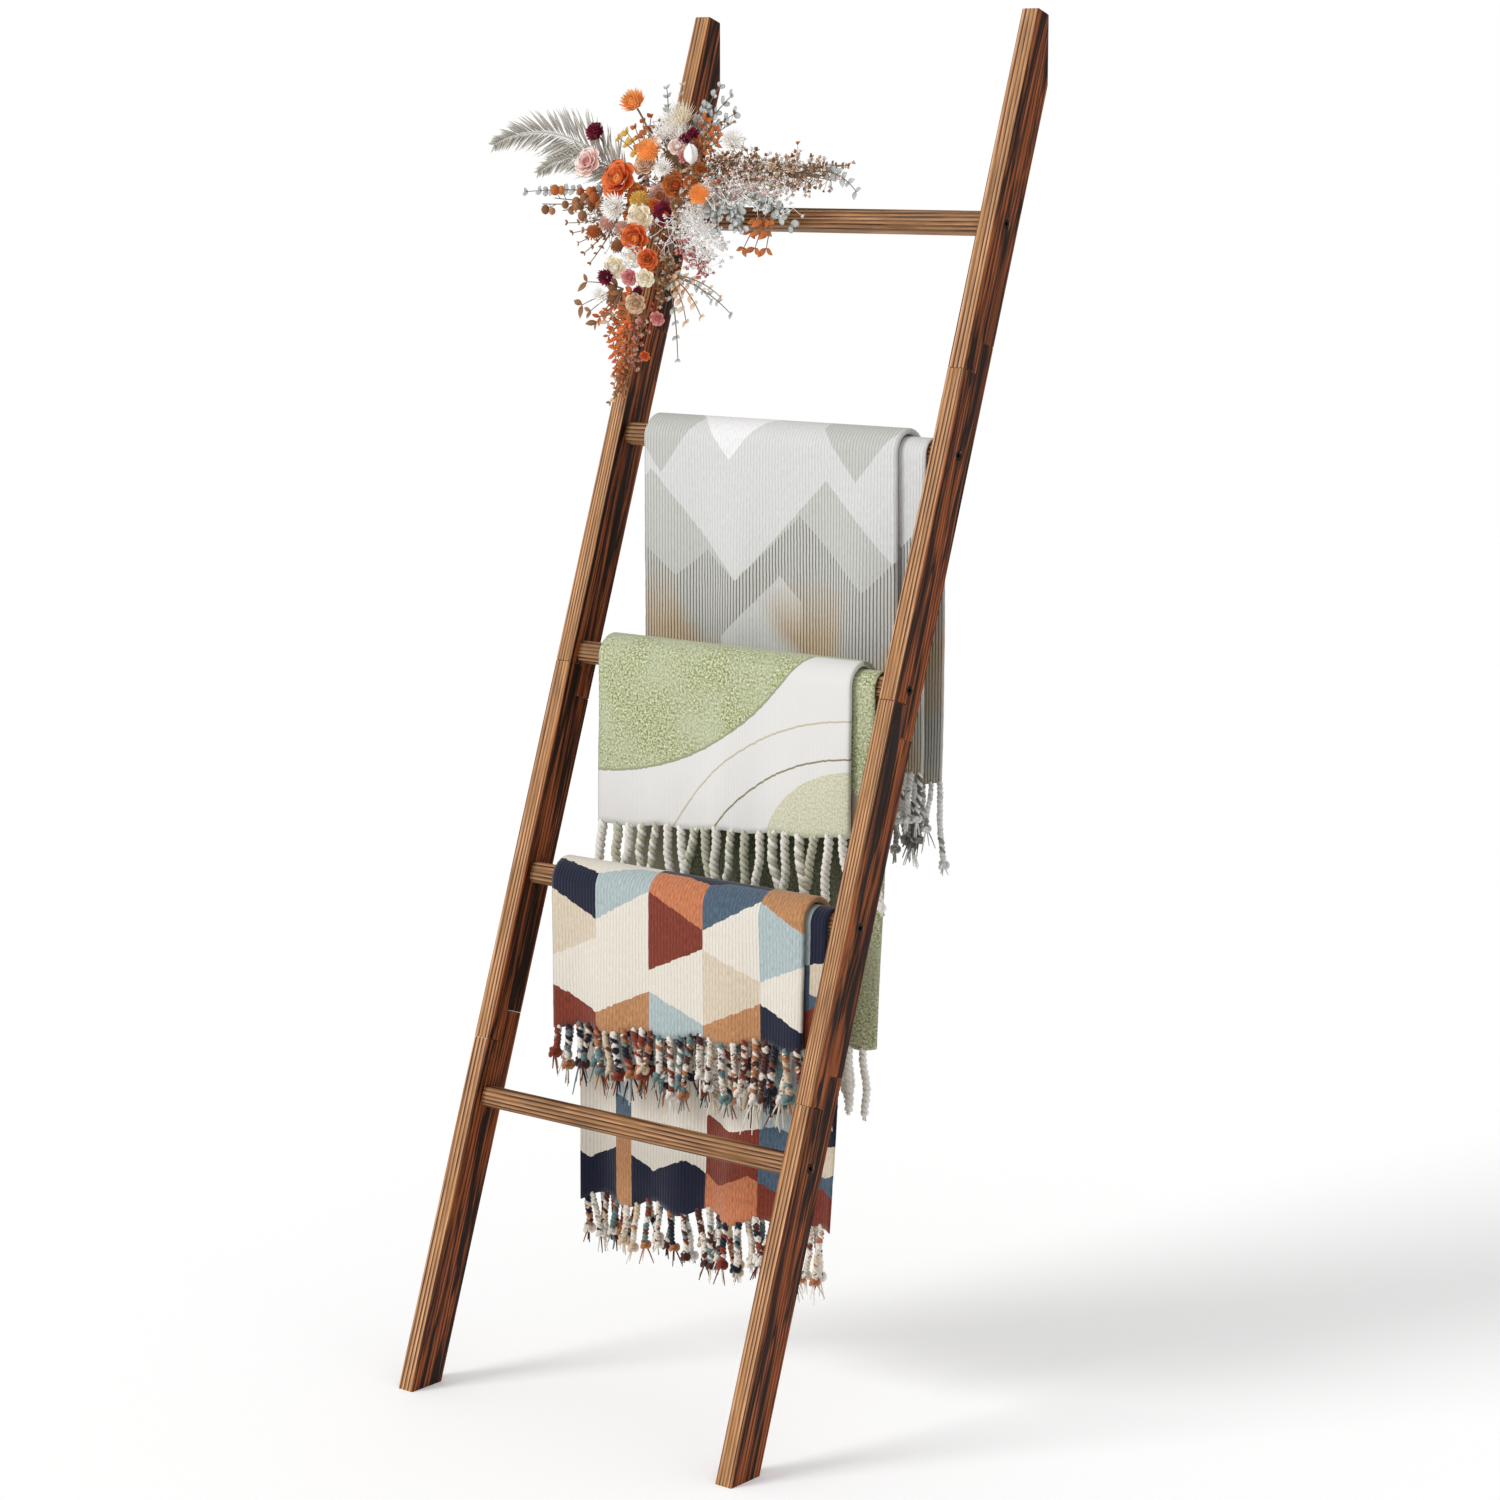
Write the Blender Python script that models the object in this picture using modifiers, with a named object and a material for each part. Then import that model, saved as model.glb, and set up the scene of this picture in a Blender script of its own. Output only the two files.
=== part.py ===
"""A leaning ladder rack with three fringed throws and a spray of dried flowers.

Units are metres and +Z is up. The floor is the plane z = 0 and the wall is the plane y = 0;
the origin is the middle of the corner where they meet. The rack stands in front of the wall,
at negative Y, and its two rails lean back on it.

The wooden pieces are placed in the rack's own plane, by three measures:
x, across the rack; v, into the depth of a rail from its front face; s, up along a rail from
its foot. An empty that leans with the rails carries them.
"""

import math

import bmesh
import bpy
from mathutils import Vector

# ---------------------------------------------------------------- driving dimensions
LEAN = math.radians(19.0)       # rails from the vertical
RACK_WIDTH = 0.482              # over the outer faces of the rails
RAIL_LENGTH = 1.600             # along the front edge
RAIL_WIDTH = 0.022
RAIL_DEPTH = 0.045
RAIL_EDGE = 0.0010              # broken edge of the sawn timber
WALL_CUT_LAND = 0.0195          # depth of the square-cut end that is left above the wall cut

FOOT_TO_RUNG = 0.338            # foot to the middle of the lowest rung
TOP_TO_RUNG = 0.234             # middle of the highest rung to the top end
RUNG_COUNT = 5                  # rung 1 is the highest
RUNG_HEIGHT = 0.024
RUNG_DEPTH = 0.026
RUNG_ROUND = 0.007

LAP_LENGTH = 0.036              # overlap of two rail sections
LAP_HIGH_BELOW_RUNG = 0.167     # rung 1 down to the front shoulder of the high lap
LAP_MID_BELOW_RUNG = 0.0155     # rung 3 down to the front shoulder of the middle lap
LAP_LOW_ABOVE_RUNG = 0.0625     # rung 5 up to the front shoulder of the low lap

BOLT_HEAD_RADIUS = 0.0056
BOLT_HEAD_HEIGHT = 0.0045
BOLT_SHANK_RADIUS = 0.0031
BOLT_IN_RUNG = 0.032            # how far the shank reaches into the end of a rung
BOLT_RECESS = 0.0006            # head below the face of the rail
BOLT_SOCKET = 0.0045            # hexagon socket, across the flats
SOCKET_DEPTH = 0.0026
HEAD_CHAMFER = 0.0006

SCREW_HEAD_RADIUS = 0.0046
SCREW_HEAD_HEIGHT = 0.0035
SCREW_SHANK_RADIUS = 0.0024
SCREW_TIP_LEFT = 0.006          # wood left in front of the tip of a lap screw
SCREW_SOCKET = 0.0035

THROW_THICKNESS = 0.012         # of the folded layers together
THROW_ON_RUNG = 0.0004          # free space between the rung's corner and the cloth
FRINGE_THICKNESS = 0.008

FIT = 0.0003                    # gap between pieces that touch
SIDES = 16                      # facets of a round piece
HOLE_ABOVE = 0.004              # how far a hole's cutter stands out of the face

# Each throw: the rung that it hangs on, the free space to the left and right rail,
# how far its front and back hang below the middle of the rung, and its two fringes.
THROWS = {
    "upper": dict(rung=2, left=0.034, right=0.005, front=0.345, back=0.362,
                  fringe_front=0.085, fringe_back=0.108),
    "middle": dict(rung=3, left=0.043, right=0.005, front=0.176, back=0.410,
                   fringe_front=0.080, fringe_back=0.080),
    "lower": dict(rung=4, left=0.043, right=0.006, front=0.150, back=0.362,
                  fringe_front=0.095, fringe_back=0.085),
}

# The spray hangs in front of the left rail. Each mass of it is an egg with its place
# across and along from the spray's tie point, and its three half sizes x, v, s.
SPRAY_STANDOFF = 0.0035         # back of the flowers to the face of the rail
SPRAY_MASSES = {
    "floral_heart": dict(at=(0.015, 0.000), half=(0.105, 0.045, 0.078)),
    "floral_left_arm": dict(at=(-0.141, 0.040), half=(0.096, 0.028, 0.050)),
    "floral_right_arm": dict(at=(0.212, 0.020), half=(0.100, 0.032, 0.050)),
    "floral_crown": dict(at=(0.024, 0.088), half=(0.070, 0.034, 0.056)),
    "floral_tail": dict(at=(-0.010, -0.140), half=(0.042, 0.028, 0.098)),
}
TIE_WIDTH = 0.006
TIE_THICKNESS = 0.0016
TIE_UPPER = 0.024               # above and below rung 1
TIE_LOWER = -0.080

# ---------------------------------------------------------------- derived places
RUNG_PITCH = (RAIL_LENGTH - FOOT_TO_RUNG - TOP_TO_RUNG) / (RUNG_COUNT - 1)
RAIL_MIDDLE = (RACK_WIDTH - RAIL_WIDTH) / 2
INNER_FACE = RACK_WIDTH / 2 - RAIL_WIDTH
MID_DEPTH = RAIL_DEPTH / 2
FOOT_Y = -(RAIL_LENGTH * math.sin(LEAN) + WALL_CUT_LAND * math.cos(LEAN))


def rung_height(number):
    """Place along the rail of a rung; rung 1 is the highest."""
    return FOOT_TO_RUNG + (RUNG_COUNT - number) * RUNG_PITCH


LAP_LOW = rung_height(5) + LAP_LOW_ABOVE_RUNG
LAP_MID = rung_height(3) - LAP_MID_BELOW_RUNG
LAP_HIGH = rung_height(1) - LAP_HIGH_BELOW_RUNG

# A lap: its lower shoulder, its upper shoulder, and whether the section below it
# keeps its front half, as a tongue that points up, or its rear half.
LAPS = {
    "low": (LAP_LOW, LAP_LOW + LAP_LENGTH, "rear"),
    "mid": (LAP_MID - LAP_LENGTH, LAP_MID, "front"),
    "high": (LAP_HIGH, LAP_HIGH + LAP_LENGTH, "rear"),
}
SECTIONS = {
    "foot": (None, "low"),
    "lower": ("low", "mid"),
    "upper": ("mid", "high"),
    "top": ("high", None),
}

# ---------------------------------------------------------------- scene and materials
for old in list(bpy.data.objects):
    bpy.data.objects.remove(old, do_unlink=True)

parts = bpy.data.collections.new("quilt_rack")
cutters = bpy.data.collections.new("cutters")
for group in (parts, cutters):
    bpy.context.scene.collection.children.link(group)


def material(name, colour, roughness, metallic=0.0):
    finish = bpy.data.materials.new(name)
    finish.use_nodes = True
    shader = finish.node_tree.nodes["Principled BSDF"]
    shader.inputs["Base Color"].default_value = (*colour, 1.0)
    shader.inputs["Roughness"].default_value = roughness
    shader.inputs["Metallic"].default_value = metallic
    return finish


BURNT_PINE = material("burnt_pine", (0.200, 0.085, 0.035), 0.60)
BLACK_STEEL = material("black_steel", (0.012, 0.012, 0.013), 0.38, 0.9)
GREY_COTTON = material("grey_cotton", (0.620, 0.620, 0.600), 0.90)
GREEN_COTTON = material("green_cotton", (0.470, 0.540, 0.330), 0.90)
CREAM_COTTON = material("cream_cotton", (0.640, 0.560, 0.460), 0.90)
GREY_YARN = material("grey_yarn", (0.560, 0.550, 0.530), 0.95)
GREEN_YARN = material("green_yarn", (0.450, 0.450, 0.330), 0.95)
MIXED_YARN = material("mixed_yarn", (0.360, 0.250, 0.200), 0.95)
DRIED_FLOWERS = material("dried_flowers", (0.520, 0.200, 0.100), 0.80)
JUTE = material("jute", (0.320, 0.230, 0.130), 0.95)


# ---------------------------------------------------------------- helpers
def add_object(name, mesh, group, finish=None):
    thing = bpy.data.objects.new(name, mesh)
    group.objects.link(thing)
    if finish and not mesh.materials:
        mesh.materials.append(finish)
    if group is cutters:
        thing.hide_render = True
        thing.display_type = "WIRE"
    return thing


def box_mesh(name, size):
    shape = bmesh.new()
    bmesh.ops.create_cube(shape, size=1.0)
    bmesh.ops.scale(shape, vec=size, verts=shape.verts)
    mesh = bpy.data.meshes.new(name)
    shape.to_mesh(mesh)
    shape.free()
    return mesh


rack_plane = bpy.data.objects.new("rack_plane", None)
parts.objects.link(rack_plane)
rack_plane.location = (0.0, FOOT_Y, 0.0)
rack_plane.rotation_euler = (-LEAN, 0.0, 0.0)


def in_rack_plane(thing, x, v, s, turn=(0.0, 0.0, 0.0)):
    """Place an object by its measures across, into and along the rack."""
    thing.parent = rack_plane
    thing.location = (x, v, s)
    thing.rotation_euler = turn
    return thing


def rack_box(name, x, v, s, group, finish=None):
    """A box in the rack's plane, from its low and high x, v and s."""
    spans = (x, v, s)
    size = [high - low for low, high in spans]
    middle = [(high + low) / 2 for low, high in spans]
    return in_rack_plane(add_object(name, box_mesh(name, size), group, finish), *middle)


def cut(thing, cutter):
    boolean = thing.modifiers.new("cut_" + cutter.name, "BOOLEAN")
    boolean.operation = "DIFFERENCE"
    boolean.solver = "EXACT"
    boolean.object = cutter


def break_edges(thing, width):
    bevel = thing.modifiers.new("broken_edge", "BEVEL")
    bevel.width = width
    bevel.segments = 1


def turned_mesh(name, outline):
    """A turned shape, from its outline of (radius, height) from top to bottom."""
    profile = bpy.data.meshes.new(name + "_outline")
    points = [(radius, 0.0, height) for radius, height in outline]
    edges = [(i, i + 1) for i in range(len(points) - 1)]
    profile.from_pydata(points, edges, [])
    lathe = add_object(name + "_lathe", profile, cutters)
    screw = lathe.modifiers.new("turn", "SCREW")
    screw.axis = "Z"
    screw.steps = SIDES
    screw.render_steps = SIDES
    screw.use_merge_vertices = True
    screw.merge_threshold = 0.00001
    return take_mesh(lathe, name)


def take_mesh(thing, name):
    """The evaluated mesh of an object, which is then removed."""
    bpy.context.view_layer.update()
    graph = bpy.context.evaluated_depsgraph_get()
    mesh = bpy.data.meshes.new_from_object(thing.evaluated_get(graph))
    mesh.name = name
    bpy.data.objects.remove(thing, do_unlink=True)
    return mesh


def smooth(mesh, angle=35.0):
    mesh.shade_smooth()
    mesh.set_sharp_from_angle(angle=math.radians(angle))


def fastener_outline(head_radius, head_height, shank_radius, length):
    """Head and shank, with the top of the head at height 0."""
    return [(0.0, 0.0), (head_radius - HEAD_CHAMFER, 0.0), (head_radius, -HEAD_CHAMFER),
            (head_radius, -head_height), (shank_radius, -head_height),
            (shank_radius, -length), (0.0, -length)]


def hole_outline(head_radius, head_height, shank_radius, length):
    """The stepped hole for a fastener, open past the face that its head is sunk in."""
    head = head_radius + FIT
    shank = shank_radius + FIT
    return [(0.0, HOLE_ABOVE), (head, HOLE_ABOVE), (head, -head_height - FIT),
            (shank, -head_height - FIT), (shank, -length - FIT), (0.0, -length - FIT)]


def socket_head_fastener(name, outline, socket):
    """A turned fastener with a hexagon socket in its head."""
    body = add_object(name + "_body", turned_mesh(name + "_blank", outline), cutters)
    shape = bmesh.new()
    bmesh.ops.create_cone(shape, cap_ends=True, segments=6, radius1=socket / math.sqrt(3),
                          radius2=socket / math.sqrt(3), depth=2 * SOCKET_DEPTH)
    key_mesh = bpy.data.meshes.new(name + "_key")
    shape.to_mesh(key_mesh)
    shape.free()
    key = add_object(name + "_key", key_mesh, cutters)
    cut(body, key)
    mesh = take_mesh(body, name)
    bpy.data.objects.remove(key, do_unlink=True)
    mesh.materials.clear()
    mesh.materials.append(BLACK_STEEL)
    smooth(mesh)
    return mesh


# ---------------------------------------------------------------- fasteners
BOLT_LENGTH = RAIL_WIDTH - BOLT_RECESS + BOLT_IN_RUNG
SCREW_LENGTH = RAIL_DEPTH - BOLT_RECESS - SCREW_TIP_LEFT
bolt_sizes = (BOLT_HEAD_RADIUS, BOLT_HEAD_HEIGHT, BOLT_SHANK_RADIUS, BOLT_LENGTH)
screw_sizes = (SCREW_HEAD_RADIUS, SCREW_HEAD_HEIGHT, SCREW_SHANK_RADIUS, SCREW_LENGTH)
bolt_mesh = socket_head_fastener("rung_bolt", fastener_outline(*bolt_sizes), BOLT_SOCKET)
screw_mesh = socket_head_fastener("lap_screw", fastener_outline(*screw_sizes), SCREW_SOCKET)
bolt_hole_mesh = turned_mesh("bolt_hole", hole_outline(*bolt_sizes))
screw_hole_mesh = turned_mesh("screw_hole", hole_outline(*screw_sizes))

SIDES_OF_RACK = {"left": -1, "right": 1}
bolt_holes = {}
screw_holes = {}
for side, sign in SIDES_OF_RACK.items():
    outward = (0.0, sign * math.pi / 2, 0.0)
    for number in range(1, RUNG_COUNT + 1):
        place = (sign * (RACK_WIDTH / 2 - BOLT_RECESS), MID_DEPTH, rung_height(number))
        bolt = add_object(f"{side}_bolt_{number}", bolt_mesh, parts)
        in_rack_plane(bolt, *place, outward)
        hole = add_object(f"{side}_bolt_hole_{number}", bolt_hole_mesh, cutters)
        bolt_holes[side, number] = in_rack_plane(hole, *place, outward)
    rearward = (-math.pi / 2, 0.0, 0.0)
    for lap, (low, high, _) in LAPS.items():
        place = (sign * RAIL_MIDDLE, RAIL_DEPTH - BOLT_RECESS, (low + high) / 2)
        screw = add_object(f"{side}_lap_screw_{lap}", screw_mesh, parts)
        in_rack_plane(screw, *place, rearward)
        hole = add_object(f"{side}_screw_hole_{lap}", screw_hole_mesh, cutters)
        screw_holes[side, lap] = in_rack_plane(hole, *place, rearward)

# ---------------------------------------------------------------- rails
ROOM = 0.2                      # how far the cutters of the floor and the wall reach out
wall_cutter = add_object("wall_cutter", box_mesh("wall_cutter", (2.0, ROOM, 2 * ROOM)), cutters)
wall_cutter.location = (0.0, ROOM / 2, RAIL_LENGTH * math.cos(LEAN))
floor_cutter = add_object("floor_cutter", box_mesh("floor_cutter", (2.0, 2 * ROOM, ROOM)), cutters)
floor_cutter.location = (0.0, FOOT_Y, -ROOM / 2)
BELOW_FLOOR = 0.03              # a rail starts this far below its foot, and the floor cuts it


def half(which):
    """The span in depth that a cutter takes to leave the front or the rear half."""
    if which == "front":
        return (MID_DEPTH - FIT / 2, RAIL_DEPTH + FIT)
    return (-FIT, MID_DEPTH + FIT / 2)


def rail_section(side, sign, section):
    lower_lap, upper_lap = SECTIONS[section]
    start = LAPS[lower_lap][0] + FIT if lower_lap else -BELOW_FLOOR
    end = LAPS[upper_lap][1] if upper_lap else RAIL_LENGTH
    across = sorted((sign * INNER_FACE, sign * RACK_WIDTH / 2))
    name = f"{side}_rail_{section}"
    rail = rack_box(name, across, (0.0, RAIL_DEPTH), (start, end), parts, BURNT_PINE)
    break_edges(rail, RAIL_EDGE)
    wide = (across[0] - FIT, across[1] + FIT)
    if upper_lap:
        low, high, kept = LAPS[upper_lap]
        notch = rack_box(name + "_upper_notch", wide, half(kept), (low, high + FIT), cutters)
        cut(rail, notch)
    else:
        cut(rail, wall_cutter)
    if lower_lap:
        low, high, taken = LAPS[lower_lap]
        kept = "rear" if taken == "front" else "front"
        notch = rack_box(name + "_lower_notch", wide, half(kept), (low - FIT, high + FIT), cutters)
        cut(rail, notch)
    else:
        cut(rail, floor_cutter)
    for number in range(1, RUNG_COUNT + 1):
        if start < rung_height(number) < end:
            cut(rail, bolt_holes[side, number])
    for lap in (lower_lap, upper_lap):
        if lap:
            cut(rail, screw_holes[side, lap])


for side, sign in SIDES_OF_RACK.items():
    for section in SECTIONS:
        rail_section(side, sign, section)


# ---------------------------------------------------------------- rungs
def rung(number):
    length = 2 * (INNER_FACE - FIT)
    shape = bmesh.new()
    bmesh.ops.create_cube(shape, size=1.0)
    bmesh.ops.scale(shape, vec=(length, RUNG_DEPTH, RUNG_HEIGHT), verts=shape.verts)
    long_edges = [edge for edge in shape.edges if edge.calc_length() > length - FIT]
    bmesh.ops.bevel(shape, geom=long_edges, offset=RUNG_ROUND, segments=4, profile=0.5,
                    affect="EDGES")
    mesh = bpy.data.meshes.new(f"rung_{number}")
    shape.to_mesh(mesh)
    shape.free()
    smooth(mesh)
    bar = add_object(f"rung_{number}", mesh, parts, BURNT_PINE)
    in_rack_plane(bar, 0.0, MID_DEPTH, rung_height(number))
    for side in SIDES_OF_RACK:
        cut(bar, bolt_holes[side, number])


for number in range(1, RUNG_COUNT + 1):
    rung(number)


# ---------------------------------------------------------------- throws
CORNER = Vector((RUNG_DEPTH / 2 - RUNG_ROUND, RUNG_HEIGHT / 2 - RUNG_ROUND)).length + RUNG_ROUND
CLOTH_INNER = CORNER + THROW_ON_RUNG
CLOTH_OUTER = CLOTH_INNER + THROW_THICKNESS
ARC_STEPS = 10


def rung_centre(number):
    """The middle of a rung in world Y and Z."""
    along = rung_height(number)
    y = FOOT_Y + along * math.sin(LEAN) + MID_DEPTH * math.cos(LEAN)
    z = along * math.cos(LEAN) - MID_DEPTH * math.sin(LEAN)
    return y, z


def folded_cloth(name, low_x, high_x, y, z, drop_front, drop_back, finish):
    """Cloth over a rung: up the front, round the rung and down the back."""
    radius = (CLOTH_INNER + CLOTH_OUTER) / 2
    path = [(-radius, -drop_front)]
    for step in range(ARC_STEPS + 1):
        angle = math.pi * (1 - step / ARC_STEPS)
        path.append((radius * math.cos(angle), radius * math.sin(angle)))
    path.append((radius, -drop_back))
    shape = bmesh.new()
    row = [shape.verts.new((0.0, across, up)) for across, up in path]
    edges = [shape.edges.new(pair) for pair in zip(row, row[1:])]
    swept = bmesh.ops.extrude_edge_only(shape, edges=edges)["geom"]
    moved = [item for item in swept if isinstance(item, bmesh.types.BMVert)]
    bmesh.ops.translate(shape, verts=moved, vec=(high_x - low_x, 0.0, 0.0))
    mesh = bpy.data.meshes.new(name)
    shape.to_mesh(mesh)
    shape.free()
    smooth(mesh)
    cloth = add_object(name, mesh, parts, finish)
    cloth.location = (low_x, y, z)
    solid = cloth.modifiers.new("layers", "SOLIDIFY")
    solid.thickness = THROW_THICKNESS
    solid.offset = 0.0
    return cloth


def fringe(name, low_x, high_x, y, top, length, finish):
    size = (high_x - low_x, FRINGE_THICKNESS, length)
    strip = add_object(name, box_mesh(name, size), parts, finish)
    strip.location = ((low_x + high_x) / 2, y, top - FIT - length / 2)


def throw(label, facts, cloth_finish, yarn_finish):
    y, z = rung_centre(facts["rung"])
    low_x = -INNER_FACE + facts["left"]
    high_x = INNER_FACE - facts["right"]
    radius = (CLOTH_INNER + CLOTH_OUTER) / 2
    folded_cloth(f"{label}_throw", low_x, high_x, y, z, facts["front"], facts["back"], cloth_finish)
    fringe(f"{label}_fringe_front", low_x, high_x, y - radius, z - facts["front"],
           facts["fringe_front"], yarn_finish)
    fringe(f"{label}_fringe_back", low_x, high_x, y + radius, z - facts["back"],
           facts["fringe_back"], yarn_finish)


throw("upper", THROWS["upper"], GREY_COTTON, GREY_YARN)
throw("middle", THROWS["middle"], GREEN_COTTON, GREEN_YARN)
throw("lower", THROWS["lower"], CREAM_COTTON, MIXED_YARN)


# ---------------------------------------------------------------- flower spray
def egg(name, at, half_sizes, group, finish=None, grow=0.0):
    shape = bmesh.new()
    bmesh.ops.create_uvsphere(shape, u_segments=16, v_segments=10, radius=1.0)
    bmesh.ops.scale(shape, vec=[size + grow for size in half_sizes], verts=shape.verts)
    mesh = bpy.data.meshes.new(name)
    shape.to_mesh(mesh)
    shape.free()
    smooth(mesh, 60.0)
    across, along = at
    thing = add_object(name, mesh, group, finish)
    depth = -SPRAY_STANDOFF - half_sizes[1]
    return in_rack_plane(thing, -RAIL_MIDDLE + across, depth, rung_height(1) + along)


heart = SPRAY_MASSES["floral_heart"]
heart_room = egg("floral_heart_room", heart["at"], heart["half"], cutters, grow=FIT)
for name, facts in SPRAY_MASSES.items():
    mass = egg(name, facts["at"], facts["half"], parts, DRIED_FLOWERS)
    if name != "floral_heart":
        cut(mass, heart_room)


def tie(name, along):
    """A band of jute round the left rail."""
    reach = TIE_THICKNESS + FIT
    middle = rung_height(1) + along
    across = (-RACK_WIDTH / 2 - reach, -INNER_FACE + reach)
    depth = (-reach, RAIL_DEPTH + reach)
    height = (middle - TIE_WIDTH / 2, middle + TIE_WIDTH / 2)
    band = rack_box(name, across, depth, height, parts, JUTE)
    rail_across = (-RACK_WIDTH / 2 - FIT, -INNER_FACE + FIT)
    rail_depth = (-FIT, RAIL_DEPTH + FIT)
    past = (height[0] - FIT, height[1] + FIT)
    cut(band, rack_box(name + "_room", rail_across, rail_depth, past, cutters))


tie("spray_tie_upper", TIE_UPPER)
tie("spray_tie_lower", TIE_LOWER)
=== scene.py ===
# %% [markdown]
# A quilt rack, built around its measured frame
#
# The object is a ladder of flame-burnt pine that leans on a wall, with three folded throws over
# its rungs and a spray of dried flowers tied to its left rail. The wooden bars, bolts and screws
# come ready-made and exact from the CAD model. This lesson adds what CAD can't say: the grain of
# the wood, the drape of the cloth, the twist of the fringe and the petals of the flowers.
#
# Lengths are in metres. X runs along the wall, Y points into it and Z is up. The origin is where
# the wall meets the floor, half way between the rails.

# %% Load the measured model
import math
import random

import bpy
import numpy as np
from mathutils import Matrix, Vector


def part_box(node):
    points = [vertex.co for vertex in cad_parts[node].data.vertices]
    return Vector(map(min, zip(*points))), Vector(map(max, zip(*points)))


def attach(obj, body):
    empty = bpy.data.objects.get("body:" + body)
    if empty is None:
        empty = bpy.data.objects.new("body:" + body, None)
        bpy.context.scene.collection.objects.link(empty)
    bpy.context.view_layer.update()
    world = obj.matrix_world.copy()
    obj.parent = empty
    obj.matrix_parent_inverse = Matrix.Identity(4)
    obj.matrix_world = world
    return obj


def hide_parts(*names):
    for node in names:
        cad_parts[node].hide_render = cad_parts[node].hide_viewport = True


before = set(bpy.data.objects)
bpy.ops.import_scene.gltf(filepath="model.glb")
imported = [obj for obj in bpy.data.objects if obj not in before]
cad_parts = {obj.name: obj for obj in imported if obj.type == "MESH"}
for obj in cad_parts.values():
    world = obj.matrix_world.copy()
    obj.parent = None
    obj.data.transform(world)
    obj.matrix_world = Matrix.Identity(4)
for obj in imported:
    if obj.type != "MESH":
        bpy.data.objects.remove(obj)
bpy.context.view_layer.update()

# %% [markdown]
# The camera stands to the right of the rack and a little below its top, looking down by about ten
# degrees. A long lens keeps the rails nearly parallel. Nothing about the view is computed from
# the object, so the framing never drifts while the pieces change.

# %% Camera
LENS_MM = 86.6
camera_data = bpy.data.cameras.new("camera")
camera_data.lens = LENS_MM
camera_data.sensor_width = 36.0
camera = bpy.data.objects.new("camera", camera_data)
camera.location = (2.499, -3.272, 1.376)
camera.rotation_euler = (math.radians(80.36), 0.0, math.radians(39.25))
bpy.context.collection.objects.link(camera)
bpy.context.scene.camera = camera

# %% [markdown]
# Every finish below is made of shader nodes. Three helpers keep that readable. The first turns a
# colour written the usual way, as an sRGB hex code, into the linear values that the renderer
# works in. The second sets or links each named input of a node, and the third adds a node of any
# kind with its settings and inputs.

# %% Colour and node helpers
def colour(code):
    channels = [int(code[i : i + 2], 16) / 255 for i in (1, 3, 5)]
    linear = [c / 12.92 if c <= 0.04045 else ((c + 0.055) / 1.055) ** 2.4 for c in channels]
    return (*linear, 1.0)


def fill(node, inputs):
    """Sets or links inputs. A node given as a value stands for the first output that it uses."""
    for socket, value in inputs.items():
        if isinstance(value, bpy.types.Node):
            value = next(out for out in value.outputs if out.enabled)
        if isinstance(value, bpy.types.NodeSocket):
            node.id_data.links.new(value, node.inputs[socket])
        else:
            node.inputs[socket].default_value = value


def add(tree, kind, inputs=None, **settings):
    node = tree.nodes.new("ShaderNode" + kind)
    for name, value in settings.items():
        setattr(node, name, value)
    fill(node, inputs or {})
    return node


def set_stops(ramp_node, stops, mode="LINEAR"):
    ramp = ramp_node.color_ramp
    ramp.interpolation = mode
    while len(ramp.elements) < len(stops):
        ramp.elements.new(1.0)
    for element, (place, code) in zip(ramp.elements, stops):
        element.position = place
        element.color = colour(code)


def set_even_stops(ramp_node, codes):
    set_stops(ramp_node, [(k / len(codes), code) for k, code in enumerate(codes)], "CONSTANT")


def new_material(name):
    material = bpy.data.materials.new(name)
    material.use_nodes = True
    tree = material.node_tree
    tree.nodes.clear()
    surface = add(tree, "BsdfPrincipled")
    add(tree, "OutputMaterial", {"Surface": surface})
    return material, tree, surface


def link_object(name, data):
    thing = bpy.data.objects.new(name, data)
    bpy.context.collection.objects.link(thing)
    return thing

# %% [markdown]
# The studio is a white room: an even white world for the shadowless fill, one broad soft lamp
# high on the left that gives the cloth its shading and turns the right-hand faces of the rails
# dark, and a pale matt floor. The world looks pure white to the lens but lights at a lower
# level, because a subject lit as brightly as its background would wash out.

# %% Floor, fill and key light
FILL_LEVEL = 0.62
KEY_STRENGTH = 1.5
FLOOR_GLOW = 0.14
REACH = 8.0

world = bpy.data.worlds.new("white_room")
bpy.context.scene.world = world
world.use_nodes = True
sky = world.node_tree
sky.nodes.clear()
seen = add(sky, "LightPath")
level = add(sky, "MapRange", {"Value": seen.outputs["Is Camera Ray"], "To Min": FILL_LEVEL})
room = add(sky, "Background", {"Color": (1.0, 1.0, 1.0, 1.0), "Strength": level})
add(sky, "OutputWorld", {"Surface": room})

lamp_data = bpy.data.lights.new("soft_key", "SUN")
lamp_data.angle = math.radians(24.0)
lamp_data.energy = KEY_STRENGTH
lamp = link_object("soft_key", lamp_data)
lamp.location = (-1.9, -3.0, 2.7)
lamp.rotation_euler = (Vector((0.0, 0.2, 0.3)) - lamp.location).to_track_quat("-Z", "Y").to_euler()

floor_mesh = bpy.data.meshes.new("floor")
corners = [(-REACH, -REACH, 0), (REACH, -REACH, 0), (REACH, REACH, 0), (-REACH, REACH, 0)]
floor_mesh.from_pydata(corners, [], [(0, 1, 2, 3)])
floor = link_object("floor", floor_mesh)
floor_paint, tree, surface = new_material("matt_white_floor_paint")
fill(surface, {"Base Color": colour("#ffffff"), "Roughness": 0.9})
fill(surface, {"Emission Color": colour("#ffffff"), "Emission Strength": FLOOR_GLOW})
floor_mesh.materials.append(floor_paint)
bpy.context.scene.view_settings.view_transform = "Standard"

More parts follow.
